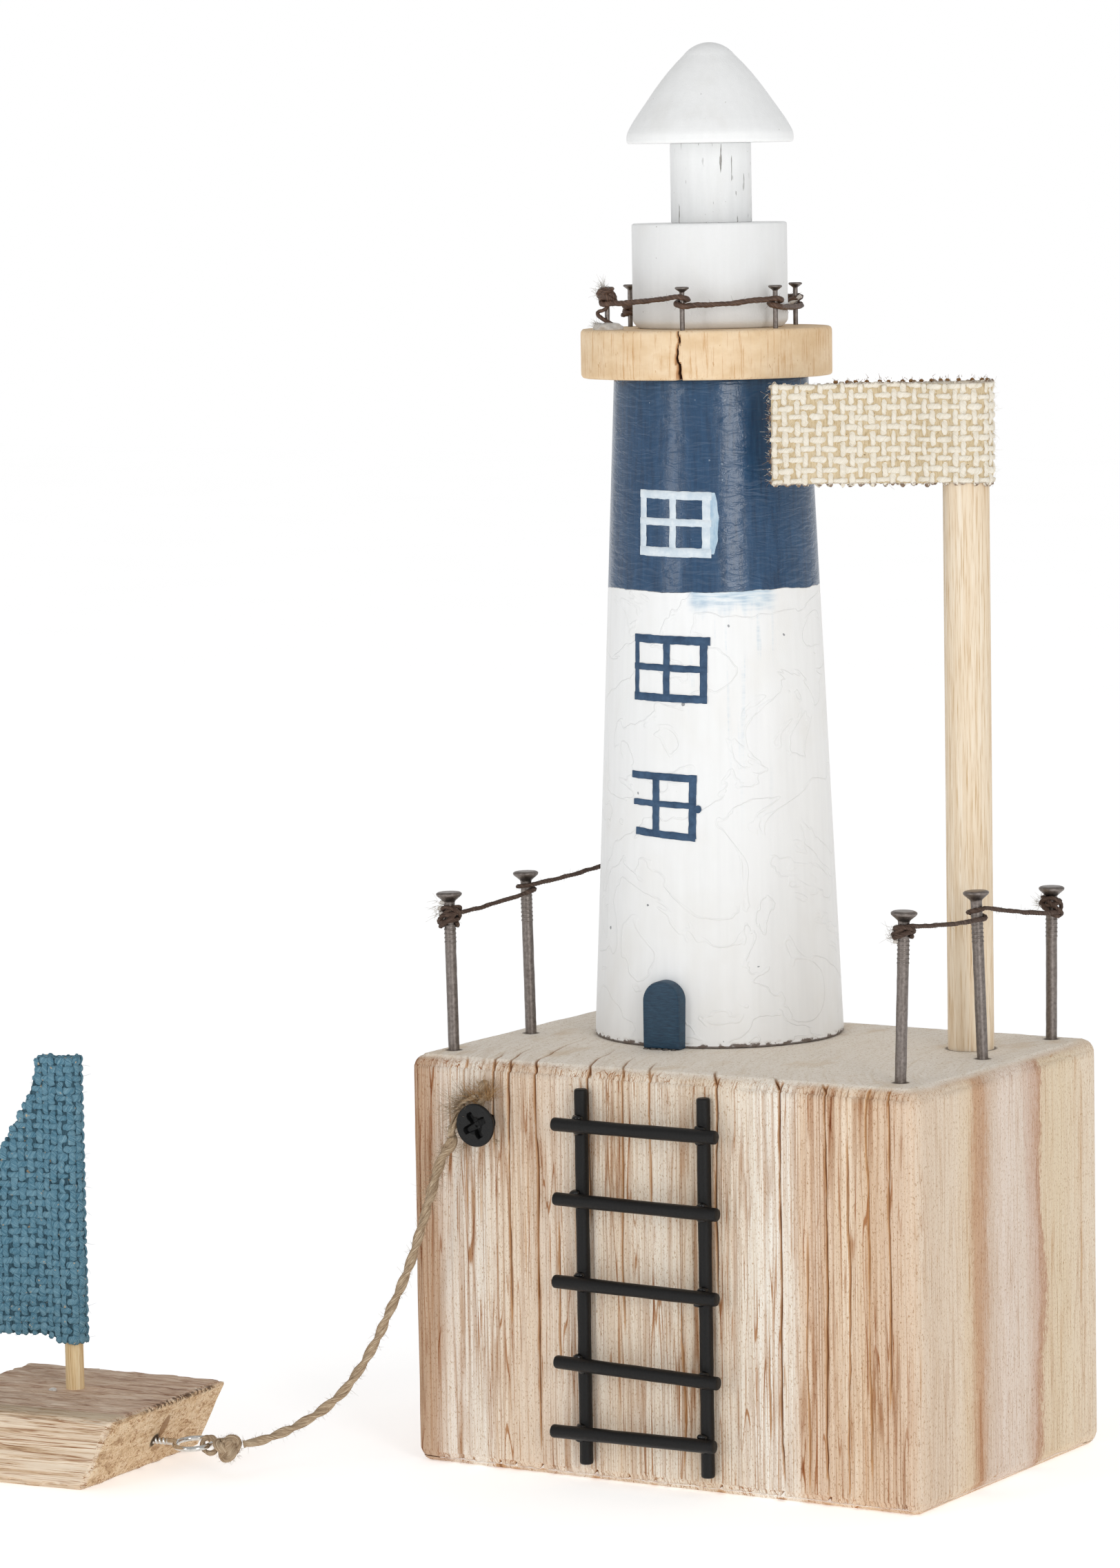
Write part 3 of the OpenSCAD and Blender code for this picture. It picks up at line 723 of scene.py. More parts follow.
def twine_finish(name, dark, mid, light, rough=0.75, fine=3.0, shine=0.2):
    """Spun fibres that run along each ply."""
    f = Finish(name, roughness=rough, specular=shine)
    fibre = f.fibre()
    threads = f.noise(fibre, (fine, fine, 0.5), detail=4, rough=0.65)
    patches = f.noise(fibre, (0.2, 0.2, 0.25), detail=2)
    colour = f.ramp(threads, [(0.28, dark), (0.5, mid), (0.72, light)])
    colour = f.mix(f.step(patches, 0.5, 0.75) * 0.4, colour, light)
    f.colour(colour)
    f.bump(threads, 0.12, 0.8)
    return f.material


def steel_finish(name, dark, light, rough=0.4, metallic=1.0, scale=1.2, bump=0.05, shine=0.5):
    f = Finish(name, roughness=rough, specular=shine, Metallic=metallic)
    mottle = f.noise(f.mm, (scale, scale, scale), detail=4, rough=0.6)
    f.colour(f.ramp(mottle, [(0.3, dark), (0.7, light)]))
    f.bump(mottle, bump, 0.7)
    return f.material


def hull_finish():
    """Weathered driftwood: a brown-grey deck, and paler sides with streaks along the hull."""
    f = Finish("hull_wood", roughness=0.85, specular=0.15)
    p = f.node("VectorRotate", {"Vector": f.vector("SUBTRACT", f.mm, (*BOAT, 0.0)),
                                "Angle": math.radians(-BOAT_TURN)}, rotation_type="Z_AXIS")
    x, y, z = (f.axis(p, k) for k in "XYZ")
    long = f.noise(p, (0.035, 0.5, 0.8), detail=5, rough=0.62, distort=0.5)
    fine = f.noise(p, (0.07, 2.0, 2.6), detail=4, rough=0.7, distort=0.4)
    wavy = f.noise(p, (0.022, 0.75, 0.9), detail=2, rough=0.5, distort=0.3)
    side = f.ramp(long, [(0.28, "8A6C52"), (0.38, "C4AB8F"), (0.48, "DFCDB7"), (0.68, "EADCC8")])
    across = f.noise(p, (0.5, 0.16, 0.5), detail=5, rough=0.6, distort=1.2)
    end = f.ramp(across, [(0.30, "AC8D6C"), (0.46, "D9C09F"), (0.62, "E6D3B7"), (0.75, "C6A886")])
    lean = HULL_RAKE / HULL[2]
    foot = HULL[0] / 2 - HULL_RAKE
    is_end = f.step(f.math("ABSOLUTE", x) - z * lean, foot - 1.0, foot - 0.4)
    colour = f.mix(is_end, side, end)
    scuff = f.noise(p, (0.10, 0.35, 0.35), detail=5, rough=0.7, distort=0.6)
    deck = f.ramp(scuff, [(0.30, "886A59"), (0.42, "BFA28D"), (0.56, "DDC7B3"), (0.75, "EEDFCE")])
    band = 1 - f.step(y + long * 3.0, -18.0, -15.5)
    deck = f.mix(band, deck, f.ramp(long, [(0.3, "B5A189"), (0.5, "CEBCA4"), (0.7, "DAC9B0")]))
    flecks = f.noise(p, (0.9, 1.5, 1.5), detail=3, rough=0.7)
    deck = f.mix(f.step(flecks, 0.63, 0.7) * 0.6, deck, "CDBBA6")
    broken = f.step(f.noise(p, (0.06, 0.4, 0.4), detail=3), 0.40, 0.58)
    colour = f.mix(f.contour(wavy, 0.03) * broken * 0.8, colour, f.times(colour, "A77B55"))
    is_top = f.step(z, HULL[2] - 0.9, HULL[2] - 0.25)
    colour = f.mix(is_top, colour, deck)
    colour = f.times(colour, f.ramp(fine, [(0.32, "A5825F"), (0.44, "F4EBE0"), (0.52, "FFFFFF"),
                                           (0.75, "F0E6DA")]))
    saw = f.noise(p, (0.4, 1.1, 0.4), detail=2, rough=0.4)
    scorch = f.step(saw, 0.46, 0.54) * f.step(x - z * lean, foot - 1.6, foot - 0.9)
    scorch = scorch * f.step(z, HULL[2] - 1.8, HULL[2] - 0.9)
    scorch = scorch * (f.step(y, -12.0, -8.0) * (1 - f.step(y, 17.0, 20.0)))
    colour = f.mix(scorch * 0.8, colour, "4A3020")
    leaf = f.vector("LENGTH", f.vector("MULTIPLY", f.vector("SUBTRACT", p, (20.6, 1.6, 9.6)),
                                       (0.0, 0.55, 0.36)))
    leaf = (1 - f.step(leaf, 0.75, 1.0)) * f.step(x, 10.0, 12.0)
    colour = f.mix(leaf * 0.75, colour, "8A6441")
    # Painted shade: a dark spot where the screw eye's shank enters the hull, standing for its shaded hole.
    eye_hole_shade = f.vector("LENGTH", f.vector("MULTIPLY", f.vector("SUBTRACT", p, (0.0, -0.3, EYE_Z)),
                                       (0.0, 1.0, 1.0)))
    eye_hole_shade = (1 - f.step(eye_hole_shade, 1.1, 1.9)) * f.step(x, 10.0, 12.0)
    colour = f.mix(eye_hole_shade * 0.9, colour, "2B1E16")
    f.colour(colour)
    f.bump(long, 0.25, 0.6)
    f.bump(fine, 0.12, 0.8)
    return f.material


def cloth_finish(name, dark, mid, light, fleck=None, rough=0.85, edges=False):
    """Coarse spun thread, with its fibres along the thread."""
    f = Finish(name, roughness=rough, specular=0.15)
    fibre = f.fibre()
    threads = f.noise(fibre, (4.5, 4.5, 0.7), detail=5, rough=0.72)
    slubs = f.noise(fibre, (0.3, 0.3, 0.12), detail=2)
    colour = f.ramp(threads, [(0.28, dark), (0.45, mid), (0.68, light)])
    colour = f.mix(f.step(slubs, 0.45, 0.75) * 0.35, colour, light)
    if fleck:
        spots = f.noise(f.mm, (0.9, 0.9, 0.9), detail=2, rough=0.6)
        colour = f.mix(f.step(spots, 0.69, 0.72) * 0.8, colour, fleck)
    if edges:
        z = f.axis(f.mm, "Z")
        middle = f.math("ABSOLUTE", z - (FLAG_TOP - FLAG_H / 2))
        burnt = f.step(middle, FLAG_H / 2 - 0.9, FLAG_H / 2 - 0.1)
        turn = math.radians(FLAG_TURN)
        along = f.vector("DOT_PRODUCT", f.vector("SUBTRACT", f.mm, (*POLE, 0.0)),
                         (math.cos(turn), math.sin(turn), 0.0))
        burnt = f.math("MAXIMUM", burnt, f.step(along, FLAG_REACH - 1.0, FLAG_REACH - 0.2))
        patchy = f.step(f.noise(f.mm, (1.0, 1.0, 1.0), detail=2), 0.40, 0.52)
        colour = f.mix(burnt * patchy * 0.85, colour, "6A472A")
    f.colour(colour)
    f.bump(threads, 0.14, 0.9)
    return f.material


BLOCK_WOOD = block_finish()
TOWER_PAINT = tower_finish()
WHITE = white_finish("white_paint", ("F1F2F2", "F3F4F4", "F5F6F6"))
# The lamp's and the drum's whites are the same white paint made darker: painted shade.
LAMP_WHITE_SHADED = white_finish("lamp_white_shaded", ("E5E6E6", "E9EAEA", "ECEDED"), scratches=0.9)
DRUM_WHITE_SHADED = white_finish("drum_white_shaded", ("E8E9E9", "EAEBEB", "ECEDED"))
NAVY = paint_finish("navy_paint", "142F45", "26485F", scale=(0.5, 0.5, 3.0), rough=0.45)
NAVY_STENCIL = paint_finish("navy_stencil", "243F5C", "3F5C7B", scale=(0.5, 0.5, 0.5), rough=0.6)
PALE_STENCIL = paint_finish("pale_stencil", "C3D2DE", "E2EAEF", scale=(0.5, 0.5, 0.5), rough=0.55)
SMEARED_STENCIL = paint_finish("smeared_stencil", "8FB0C9", "C4D6E2", scale=(0.9, 0.9, 0.35), rough=0.5)
GALLERY_WOOD = gallery_finish()
POLE_WOOD = grain_finish("pole_wood", "E1CBAD", "EAD8BE", "F1E4D0", scale=0.9, lines="D6BB96")
BAMBOO = grain_finish("bamboo", "D6B98C", "E8D0A4", "F2E1BE", scale=1.2, lines="B9925C")
DOWEL = grain_finish("dowel_wood", "C9A77A", "DCC097", "E8D2AE")
NAIL_STEEL = steel_finish("nail_steel", "6B635E", "8D8580", rough=0.42, scale=1.5)
BLACK_STEEL = steel_finish("black_steel", "060606", "121212", rough=0.36, metallic=0.0, scale=2.8, bump=0.2,
                           shine=0.3)
ZINC = steel_finish("zinc_steel", "B9B7B2", "E2E0DC", rough=0.16, bump=0.02)
BLACK_STICK = paint_finish("black_stick", "040404", "0E0D0D", scale=(2.2, 2.2, 2.2), rough=0.42, bump=0.16,
                           shine=0.28)
BLACK_GLUE = paint_finish("black_glue", "060606", "0E0E0E", scale=(1, 1, 1), rough=0.08)
DARK_GLUE = paint_finish("dark_glue", "3B3733", "6E665E", scale=(1.5, 1.5, 1.5), rough=0.2)
CLEAR_GLUE = paint_finish("hot_glue", "B9B2A9", "DAD5CE", scale=(0.8, 0.8, 0.8), rough=0.28)
WAXED = twine_finish("brown_twine", "2E1F18", "503A2D", "7D6150", rough=0.5, shine=0.4)
THIN_TWINE = twine_finish("thin_twine", "30231D", "4D3D34", "6E5B50", rough=0.7)
FLAG_TIPS = cloth_finish("cream_tips", "5A3C24", "7E5836", "B08C60")
JUTE = twine_finish("jute", "665240", "A58E73", "D6C5AB", rough=0.85, fine=4.0)
JUTE_TUFT = twine_finish("jute_tuft", "825E3A", "B48D60", "DCC19B", rough=0.85)
HULL_WOOD = hull_finish()
CREAM = cloth_finish("cream_hessian", "C9B998", "EDE4D2", "FAF6EC", edges=True)
# The flag's and the sail's middle sheets are darker than their threads: painted shade in the gaps of the
# weave, partly the cloth behind.
CREAM_GAP_SHADE = cloth_finish("cream_gap_shade_sheet", "9A815D", "CBB58F", "E2D2B4", fleck="6E5638")
BLUE = cloth_finish("blue_hessian", "274656", "4A768B", "8DB0BE", fleck="C9B08C")
BLUE_GAP_SHADE = cloth_finish("blue_gap_shade_sheet", "14222A", "2A434F", "4B6A78", fleck="A58A66")

# ---------------------------------------------------------------- tether, first of all the pieces


def tether_path():
    last = np.array(TETHER_BENDS[-1], float)
    finish = KNOT + (KNOT_R + 0.05) * unit(last - KNOT)
    return smooth_path([TETHER_START] + TETHER_BENDS + [finish], 8)


def add_tether():
    path = tether_path()
    fine = resample(path, 0.45)
    cord = Shape()
    twisted(cord, fine, 1.15, plies=2, pitch=10.5, sides=28, depth=0.36, rough=0.07, seed=3,
            taper=lambda f: 1 + 0.14 * clamp(1 - f / 0.2))
    loose = Shape()
    fuzz(loose, fine, 1.0, 6.0, 1.3)
    fuzz(loose, fine[:len(fine) // 5], 1.2, 16.0, 2.2, curl=0.5)
    loose = loose.build("tether_fibres", JUTE, "tether", "jute")
    piece = cord.build("tether_cord", JUTE, "tether", "jute", replaces=["tether"])
    knot = Shape()
    t = np.linspace(0, 2 * np.pi, 260)
    trefoil = 0.76 * xyz(np.sin(t) + 2 * np.sin(2 * t), np.cos(t) - 2 * np.cos(2 * t), -1.5 * np.sin(3 * t))
    spin = Matrix.Rotation(math.radians(35), 3, "Z") @ Matrix.Rotation(math.radians(62), 3, "X")
    trefoil = trefoil @ np.array(spin).T + KNOT
    twisted(knot, trefoil, 1.18, plies=2, pitch=7, sides=20, depth=0.3, rough=0.10, seed=5)
    core = smooth_path([KNOT - 2 * UP, KNOT, KNOT + 2 * UP], 6)
    twisted(knot, core, 2.0, plies=3, pitch=9, sides=20, depth=0.2, rough=0.15, seed=8)
    ahead = np.array([*rotated(1, 0, BOAT_TURN), 0])
    a = np.linspace(0, 2 * np.pi, 60)[:, None]
    loop = KNOT - ahead * 4.4 + 0.3 * UP + 1.75 * (np.cos(a) * ahead + np.sin(a) * UP)
    twisted(knot, loop, 0.68, plies=2, pitch=5, sides=14, depth=0.3, rough=0.08, seed=9)
    for _ in range(150):
        way = unit(RNG.normal(size=3))
        hair(knot, KNOT + way * 2.9, way + 0.9 * RNG.normal(size=3), RNG.uniform(0.3, 0.9), 0.035, 0.4)
    ball = knot.build("tether_knot_ball", JUTE, "tether", "jute", replaces=["tether_knot"])


add_tether()

# ---------------------------------------------------------------- block and boat hull


def add_panels(shape, faces, placed):
    """Adds grids, each given by two lists of coordinates and a function of both that makes points."""
    for across, up, make in faces:
        points = make(*np.meshgrid(across, up))
        p, marks = placed(points.reshape(-1, 3))
        shape.grid(p.reshape(points.shape), fibre=marks)


def spread(half, step, edge, edge_step):
    """Coordinates from -half to half, closer together near the ends."""
    inner = np.arange(-half + edge, half - edge + step / 2, step)
    ends = np.linspace(0, edge, max(2, int(edge / edge_step)), endpoint=False)
    return np.unique(np.round(np.concatenate([-half + ends, inner, half - ends]), 4))


def round_box(p, half, r):
    """Moves points on a box's faces to the same box with round edges; also gives the normals."""
    core = np.clip(p, -(half - r), half - r)
    out = unit(p - core)
    return core + out * r, out


# Cracks of the front face: place across it, lowest and highest height, depth, and length on the top
FISSURES = [(-47.0, 50, 88, 0.4, 4), (-40.2, 66, 88, 0.8, 14), (-36.0, 30, 88, 1.0, 26),
            (-29.6, 4, 88, 1.2, 44), (-24.0, 20, 60, 0.5, 0), (-16.5, 52, 88, 0.9, 30),
            (-8.5, 30, 88, 0.6, 22), (-1.5, 55, 88, 0.5, 16), (5.5, 2, 45, 0.6, 0),
            (14.2, 40, 88, 0.9, 10), (26.0, 10, 40, 0.4, 0), (29.4, 2, 88, 1.3, 6), (35.5, 0, 60, 0.5, 0),
            (39.8, 0, 88, 1.0, 3), (45.2, 0, 80, 0.6, 0), (50.0, 4, 88, 0.5, 0), (54.5, 20, 86, 0.7, 0)]


def block_depth(p, out):
    """How far the wood's surface lies under the box, and how much of it is groove and fissure."""
    x, y, z = p[:, 0], p[:, 1], p[:, 2]
    front, side, top = (np.abs(out[:, k]) for k in (1, 0, 2))
    thin = field(1, x / 0.62, z / 45)
    thin = thin + 0.12 * field(21, x / 0.9, z / 3.0)
    ribs = field(2, x / 1.5, z / 70, 3)
    waves = field(4, x / 6.0, z / 80, 7)
    strong = clamp(0.55 + 0.6 * field(3, x / 5.0, z / 30, 9))
    groove = np.exp(-(thin / 0.24) ** 2) * strong
    front_depth = 0.24 * groove + 0.08 * (1 + ribs) + 0.07 * (1 + waves)
    ring = np.hypot(x - PITH[0], y - PITH[1])
    fissure, crack_depth = np.zeros_like(x), np.zeros_like(x)
    for at, low, high, deep, back in FISSURES:
        wander = 0.55 * field(5, z / 16, at)
        wander = wander + 0.12 * field(15, z / 2.5, at)
        wide = 0.2 + 0.1 * field(16, z / 5, at, 4)
        near = np.exp(-((x - at - wander) / wide) ** 2)
        span = clamp((z - low) / 8) * clamp((high - z) / 8 + (high > 85))
        on_front = near * span * (y < 0) * clamp(front * 3 - 0.6)
        own_ring = math.hypot(at - PITH[0], FRONT_Y - PITH[1])
        bend = 0.5 * field(17, y / 6, at, 8)
        line = np.exp(-((ring - own_ring - bend) / 0.26) ** 2)
        fade = clamp((back - (y - FRONT_Y)) / max(back, 1) * 1.6) * (back > 0) * (x < PITH[0])
        on_top = line * fade * clamp(top * 3 - 0.6)
        both = np.maximum(on_front, on_top)
        fissure = np.maximum(fissure, both * min(1.0, 0.45 + 0.5 * deep))
        crack_depth = np.maximum(crack_depth, both * deep * 0.8)
    side_ribs = 0.04 * (1 + field(6, y / 1.2, z / 50))
    side_ribs = side_ribs + 0.06 * (1 + field(7, y / 9.0, z / 70))
    side_groove = np.exp(-(field(12, y / 1.0, z / 45) / 0.16) ** 2)
    side_groove = side_groove * clamp(field(13, y / 7.0, z / 60))
    rings = field(8, ring / 0.9, y / 12)
    ring_groove = np.exp(-(rings / 0.22) ** 2) * clamp(0.25 - x / 60)
    ring_groove = ring_groove * clamp(1.2 - (y - FRONT_Y) / 26)
    rough_saw = value_noise(p / 0.9, 19)
    saw = 0.02 * (1 + rings) + 0.05 * (1 + field(9, x / 7.0, y / 7.0))
    saw = saw + 0.07 * ring_groove + 0.03 * (1 + rough_saw)
    corner = np.maximum(np.maximum(front, side), top) < 0.985
    worn = 0.20 * (1 + value_noise(p / 5.5, 10)) * corner
    worn = worn + corner * front * 0.35 * (groove + 0.4 * (1 + ribs)) * (top > 0.15)
    depth = front ** 2 * front_depth + side ** 2 * (side_ribs + 0.10 * side_groove) + top ** 2 * saw
    marks = front ** 2 * groove + side ** 2 * 0.5 * side_groove + top ** 2 * 0.8 * ring_groove
    return depth + worn + crack_depth, marks, fissure


def add_block():
    half = np.array(BLOCK) / 2
    xs, coarse_xs = spread(half[0], 0.21, BLOCK_R, 0.3), spread(half[0], 0.6, BLOCK_R, 0.5)
    ys, zs = spread(half[1], 0.5, BLOCK_R, 0.5), spread(half[2], 2.4, BLOCK_R, 0.4)

    def placed(flat):
        moved, out = round_box(flat, half, BLOCK_R)
        p = moved + (0, 0, half[2])
        depth, groove, fissure = block_depth(p, out)
        if flat[:, 2].max() < 1e-6 - half[2]:
            depth = depth * clamp(p[:, 2] / 1.5)
        depth = np.where(p[:, 2] < 0.4, depth * 0.1, depth)
        return p - out * depth[:, None], xyz(groove, fissure, 0)

    shape = Shape()
    add_panels(shape, [(xs, zs, lambda u, v: xyz(u, -half[1], v)),
                       (coarse_xs, zs, lambda u, v: xyz(-u, half[1], v)),
                       (ys, zs, lambda u, v: xyz(half[0], u, v)),
                       (ys, zs, lambda u, v: xyz(-half[0], -u, v)),
                       (xs, ys, lambda u, v: xyz(u, v, half[2])),
                       (coarse_xs[::3], ys[::3], lambda u, v: xyz(-u, v, -half[2]))], placed)
    shape.build("block_shaped", BLOCK_WOOD, "root", "block_wood", replaces=["block"])


def boat_place(x, y):
    """From the boat's own axes to the block's."""
    x, y = rotated(x, y, BOAT_TURN)
    return BOAT[0] + x, BOAT[1] + y


def hull_point(x, y, z):
    """A point of the straight hull from box coordinates: x from -1 to 1, y from -1 to 1, z up."""
    half_l = HULL[0] / 2 - HULL_RAKE * (1 - z / HULL[2])
    return xyz(x * half_l, y * HULL[1] / 2, z)


def hull_depth(p, out):
    """How far the weathered surface lies under the straight hull."""
    x, y, z = p.T
    near_side = np.abs(out[:, 1]) > 0.7
    grooves = 0.16 * (1 + field(32, x / 14, z / 0.75, y / 9)) + 0.18 * (1 + field(33, x / 22, z / 1.9))
    ends = 0.14 * (1 + field(34, y / 1.1, (z - y * 0.5) / 2.6))
    deck = 0.13 * (1 + field(35, x / 6, y / 1.3)) + 0.10 * (1 + field(36, x / 2.0, y / 2.0))
    depth = np.where(near_side, grooves, np.where(np.abs(out[:, 0]) > 0.7, ends, deck))
    edge = np.max(np.abs(out), axis=1) < 0.98
    depth = depth + edge * 0.30 * (1 + value_noise(p / 2.3, 37))
    depth = depth + clamp(field(38, x / 1.6)) * clamp(1.6 - z) * near_side * 1.1
    return np.minimum(np.where(out[:, 2] < -0.9, depth * 0.1, depth), 0.95)


def add_hull():
    centre = np.array([0, 0, HULL[2] / 2])

    def placed(p):
        half = xyz(HULL[0] / 2 - HULL_RAKE * (1 - p[:, 2] / HULL[2]), HULL[1] / 2, HULL[2] / 2)
        r = np.array([1.9, 1.9, 1.1]) * (1 + 0.25 * value_noise(p / 4.0, 31))[:, None]
        core = np.clip(p - centre, r - half, half - r)
        out = unit((p - centre - core) / r)
        q = core + out * r - out * hull_depth(p, out)[:, None] + centre
        return xyz(*boat_place(q[:, 0], q[:, 1]), q[:, 2]), None

    u, w, h = np.linspace(-1, 1, 120), np.linspace(-1, 1, 110), np.linspace(0, HULL[2], 44)
    shape = Shape()
    add_panels(shape, [(u, h, lambda a, b: hull_point(a, -1, b)),
                       (-u, h, lambda a, b: hull_point(a, 1, b)),
                       (w, h, lambda a, b: hull_point(1, a, b)),
                       (-w, h, lambda a, b: hull_point(-1, a, b)),
                       (u, w, lambda a, b: hull_point(a, b, HULL[2])),
                       (-u, w, lambda a, b: hull_point(a, b, 0))], placed)
    shape.build("hull_shaped", HULL_WOOD, "boat", "hull_wood", replaces=["hull"])


# ---------------------------------------------------------------- tower and what stands on it


def add_tower():
    outline = rounded([(0.01, 0), (TOWER_R, 0), (TOWER_TOP_R, TOWER_H), (0.01, TOWER_H)], 0.5, 3)
    add_turned("tower_turned", "tower", TOWER_PAINT, "white_paint", (*TOWER, BLOCK[2]),
               split_long(outline, 1.6), 220, 0.05, 21, 3.0, stretch=9.0, sharp=40)


def tower_r(height):
    """The tower's radius at a height above the block."""
    return TOWER_R + (TOWER_TOP_R - TOWER_R) * height / TOWER_H


def on_tower(u, z, off, azimuth):
    """A point at arc distance u from a meridian of the tower, off above its surface."""
    r = tower_r(z - BLOCK[2])
    a = math.radians(azimuth) + u / r
    return xyz(TOWER[0] + (r + off) * np.cos(a), TOWER[1] + (r + off) * np.sin(a), z)


def painted_bar(shape, azimuth, z0, start, end, half, thick, seed, wobble=0.07):
    """A brushed stroke between two points of a window, each (arc distance, height)."""
    start, end = np.array(start, float), np.array(end, float)
    n = max(8, int(np.linalg.norm(end - start) / 0.4))
    f = np.linspace(0, 1, n)[:, None]
    line = start + (end - start) * f
    way = unit(end - start)
    side = np.array([-way[1], way[0]])
    left = half + wobble * noise_line(f[:, 0] * n, seed, 2.6)
    right = half + wobble * noise_line(f[:, 0] * n, seed + 40, 2.2)
    cut = []
    for reach, off in ((left, 0.02), (left - 0.12, thick), (0.12 - right, thick), (-right, 0.02)):
        row = line + side * reach[:, None]
        cut.append(on_tower(row[:, 0], z0 + row[:, 1] - row[:, 0] * WINDOW_TILT, off, azimuth))
    shape.grid(np.stack(cut, axis=1))


def add_window(name, material, slot, azimuth, z, seeds, uprights, levels, spots=()):
    """Bars given as (start, end, half width), and round blots as (arc distance, height)."""
    shape = Shape()
    for bars, thick, seed in ((uprights, 0.10, seeds[0]), (levels, 0.14, seeds[1])):
        for i, (start, end, half) in enumerate(bars):
            painted_bar(shape, azimuth, z, start, end, half, thick + 0.01 * i, seed + i)
    for u, v in spots:
        a = circle(25)
        blot = on_tower(u + 0.75 * np.cos(a), z + v + 0.85 * np.sin(a), 0.13, azimuth)
        shape.add(blot, [list(range(len(blot)))])
    shape.build(f"window_{name}_paint", material, "root", slot)


def add_windows():
    azimuth, z = -82.6, 200.4
    add_window("top", PALE_STENCIL, "white_paint", azimuth, z, (50, 60),
               [((u, -6.9), (u, 6.9), half) for u, half in ((-7.5, 0.85), (-0.1, 0.75), (7.3, 0.9))],
               [((-8.3, v), (8.4, v), half) for v, half in ((6.1, 0.9), (0.35, 0.8), (-6.0, 1.0))])
    rows = []
    for v in np.linspace(-6.2, 6.9, 36):
        reach = 1.75 * math.sqrt(max(0.0, 1 - (abs(v - 0.6) / 7.6) ** 2))
        reach += 0.12 * float(noise_line(v, 71, 1.6)[0])
        u = np.linspace(7.9, 8.15 + max(0.1, reach), 6)
        off = np.array([0.05, 0.08, 0.08, 0.07, 0.06, 0.02])
        rows.append(on_tower(u, z + v - u * WINDOW_TILT, off, azimuth))
    smear = Shape()
    smear.grid(np.array(rows))
    smear.build("window_top_smear", SMEARED_STENCIL, "root", "white_paint")
    add_window("middle", NAVY_STENCIL, "navy_paint", -85.2, 169.5, (80, 90),
               [((u, -6.9), (u, 7.0), half) for u, half in ((-8.1, 0.6), (-0.4, 0.8), (7.9, 0.8))],
               [((-8.7, v), (right, v), half)
                for v, right, half in ((6.2, 9.3, 0.9), (0.2, 8.7, 0.72), (-6.2, 8.7, 0.85))])
    add_window("low", NAVY_STENCIL, "navy_paint", -88.5, 140.4, (100, 103),
               [((u, -6.8), (u, 6.6), 0.85) for u in (-1.4, 7.1)],
               [((-7.9, 6.1), (8.0, 6.0), 0.8), ((-7.3, 0.3), (7.6, 0.2), 0.66),
                ((-6.6, -5.9), (7.8, -6.6), 0.8)], spots=[(8.3, -0.7)])


def add_door():
    """A slab with an arched top whose front is flat and whose back is hollowed to fit the tower."""
    w, h = 8.5, 14.6
    front = TOWER_R + 2.9
    r = w / 2

    def place(across, away, z):
        x, y = rotated(across, -away, DOOR_TURN)
        return xyz(TOWER[0] + x, TOWER[1] + y, BLOCK[2] + z)

    edge = [(r, z) for z in np.linspace(0.1, h - r, 16)]
    edge += [(r * math.cos(a), h - r + r * math.sin(a)) for a in np.linspace(0, np.pi, 44)[1:-1]]
    edge += [(-r, z) for z in np.linspace(h - r, 0.1, 16)]
    edge += [(x, 0.05) for x in np.linspace(-r + 0.4, r - 0.4, 12)]
    edge = np.array(edge)
    middle = np.array([0, h / 2])
    back = np.sqrt((tower_r(edge[:, 1]) + 0.05) ** 2 - edge[:, 0] ** 2)
    rings = [place(edge[:, 0], back, edge[:, 1])]
    for k, raised in ((1.0, -0.55), (0.97, -0.12), (0.90, 0.0), (0.6, 0.0), (0.3, 0.0), (0.02, 0.0)):
        q = middle + (edge - middle) * k
        grain = 0.05 * field(111, q[:, 0] / 3, q[:, 1] / 0.6) * (k < 0.95)
        rings.append(place(q[:, 0], front + raised + grain, q[:, 1]))
    shape = Shape()
    shape.grid(np.array(rings[::-1]), closed_u=True)
    shape.build("door_painted", NAVY, "root", "navy_paint", sharp=35, replaces=["door"])
    glue = Shape()
    for k, across in enumerate((-3.6, -1.7, -0.3, 1.1, 3.0)):
        drop(glue, place(across, front + 0.15, -0.05), 0.55 + 0.25 * (k % 2), 0.32, 120 + k, 8)
    glue.build("door_glue", DARK_GLUE, "root", "hot_glue")


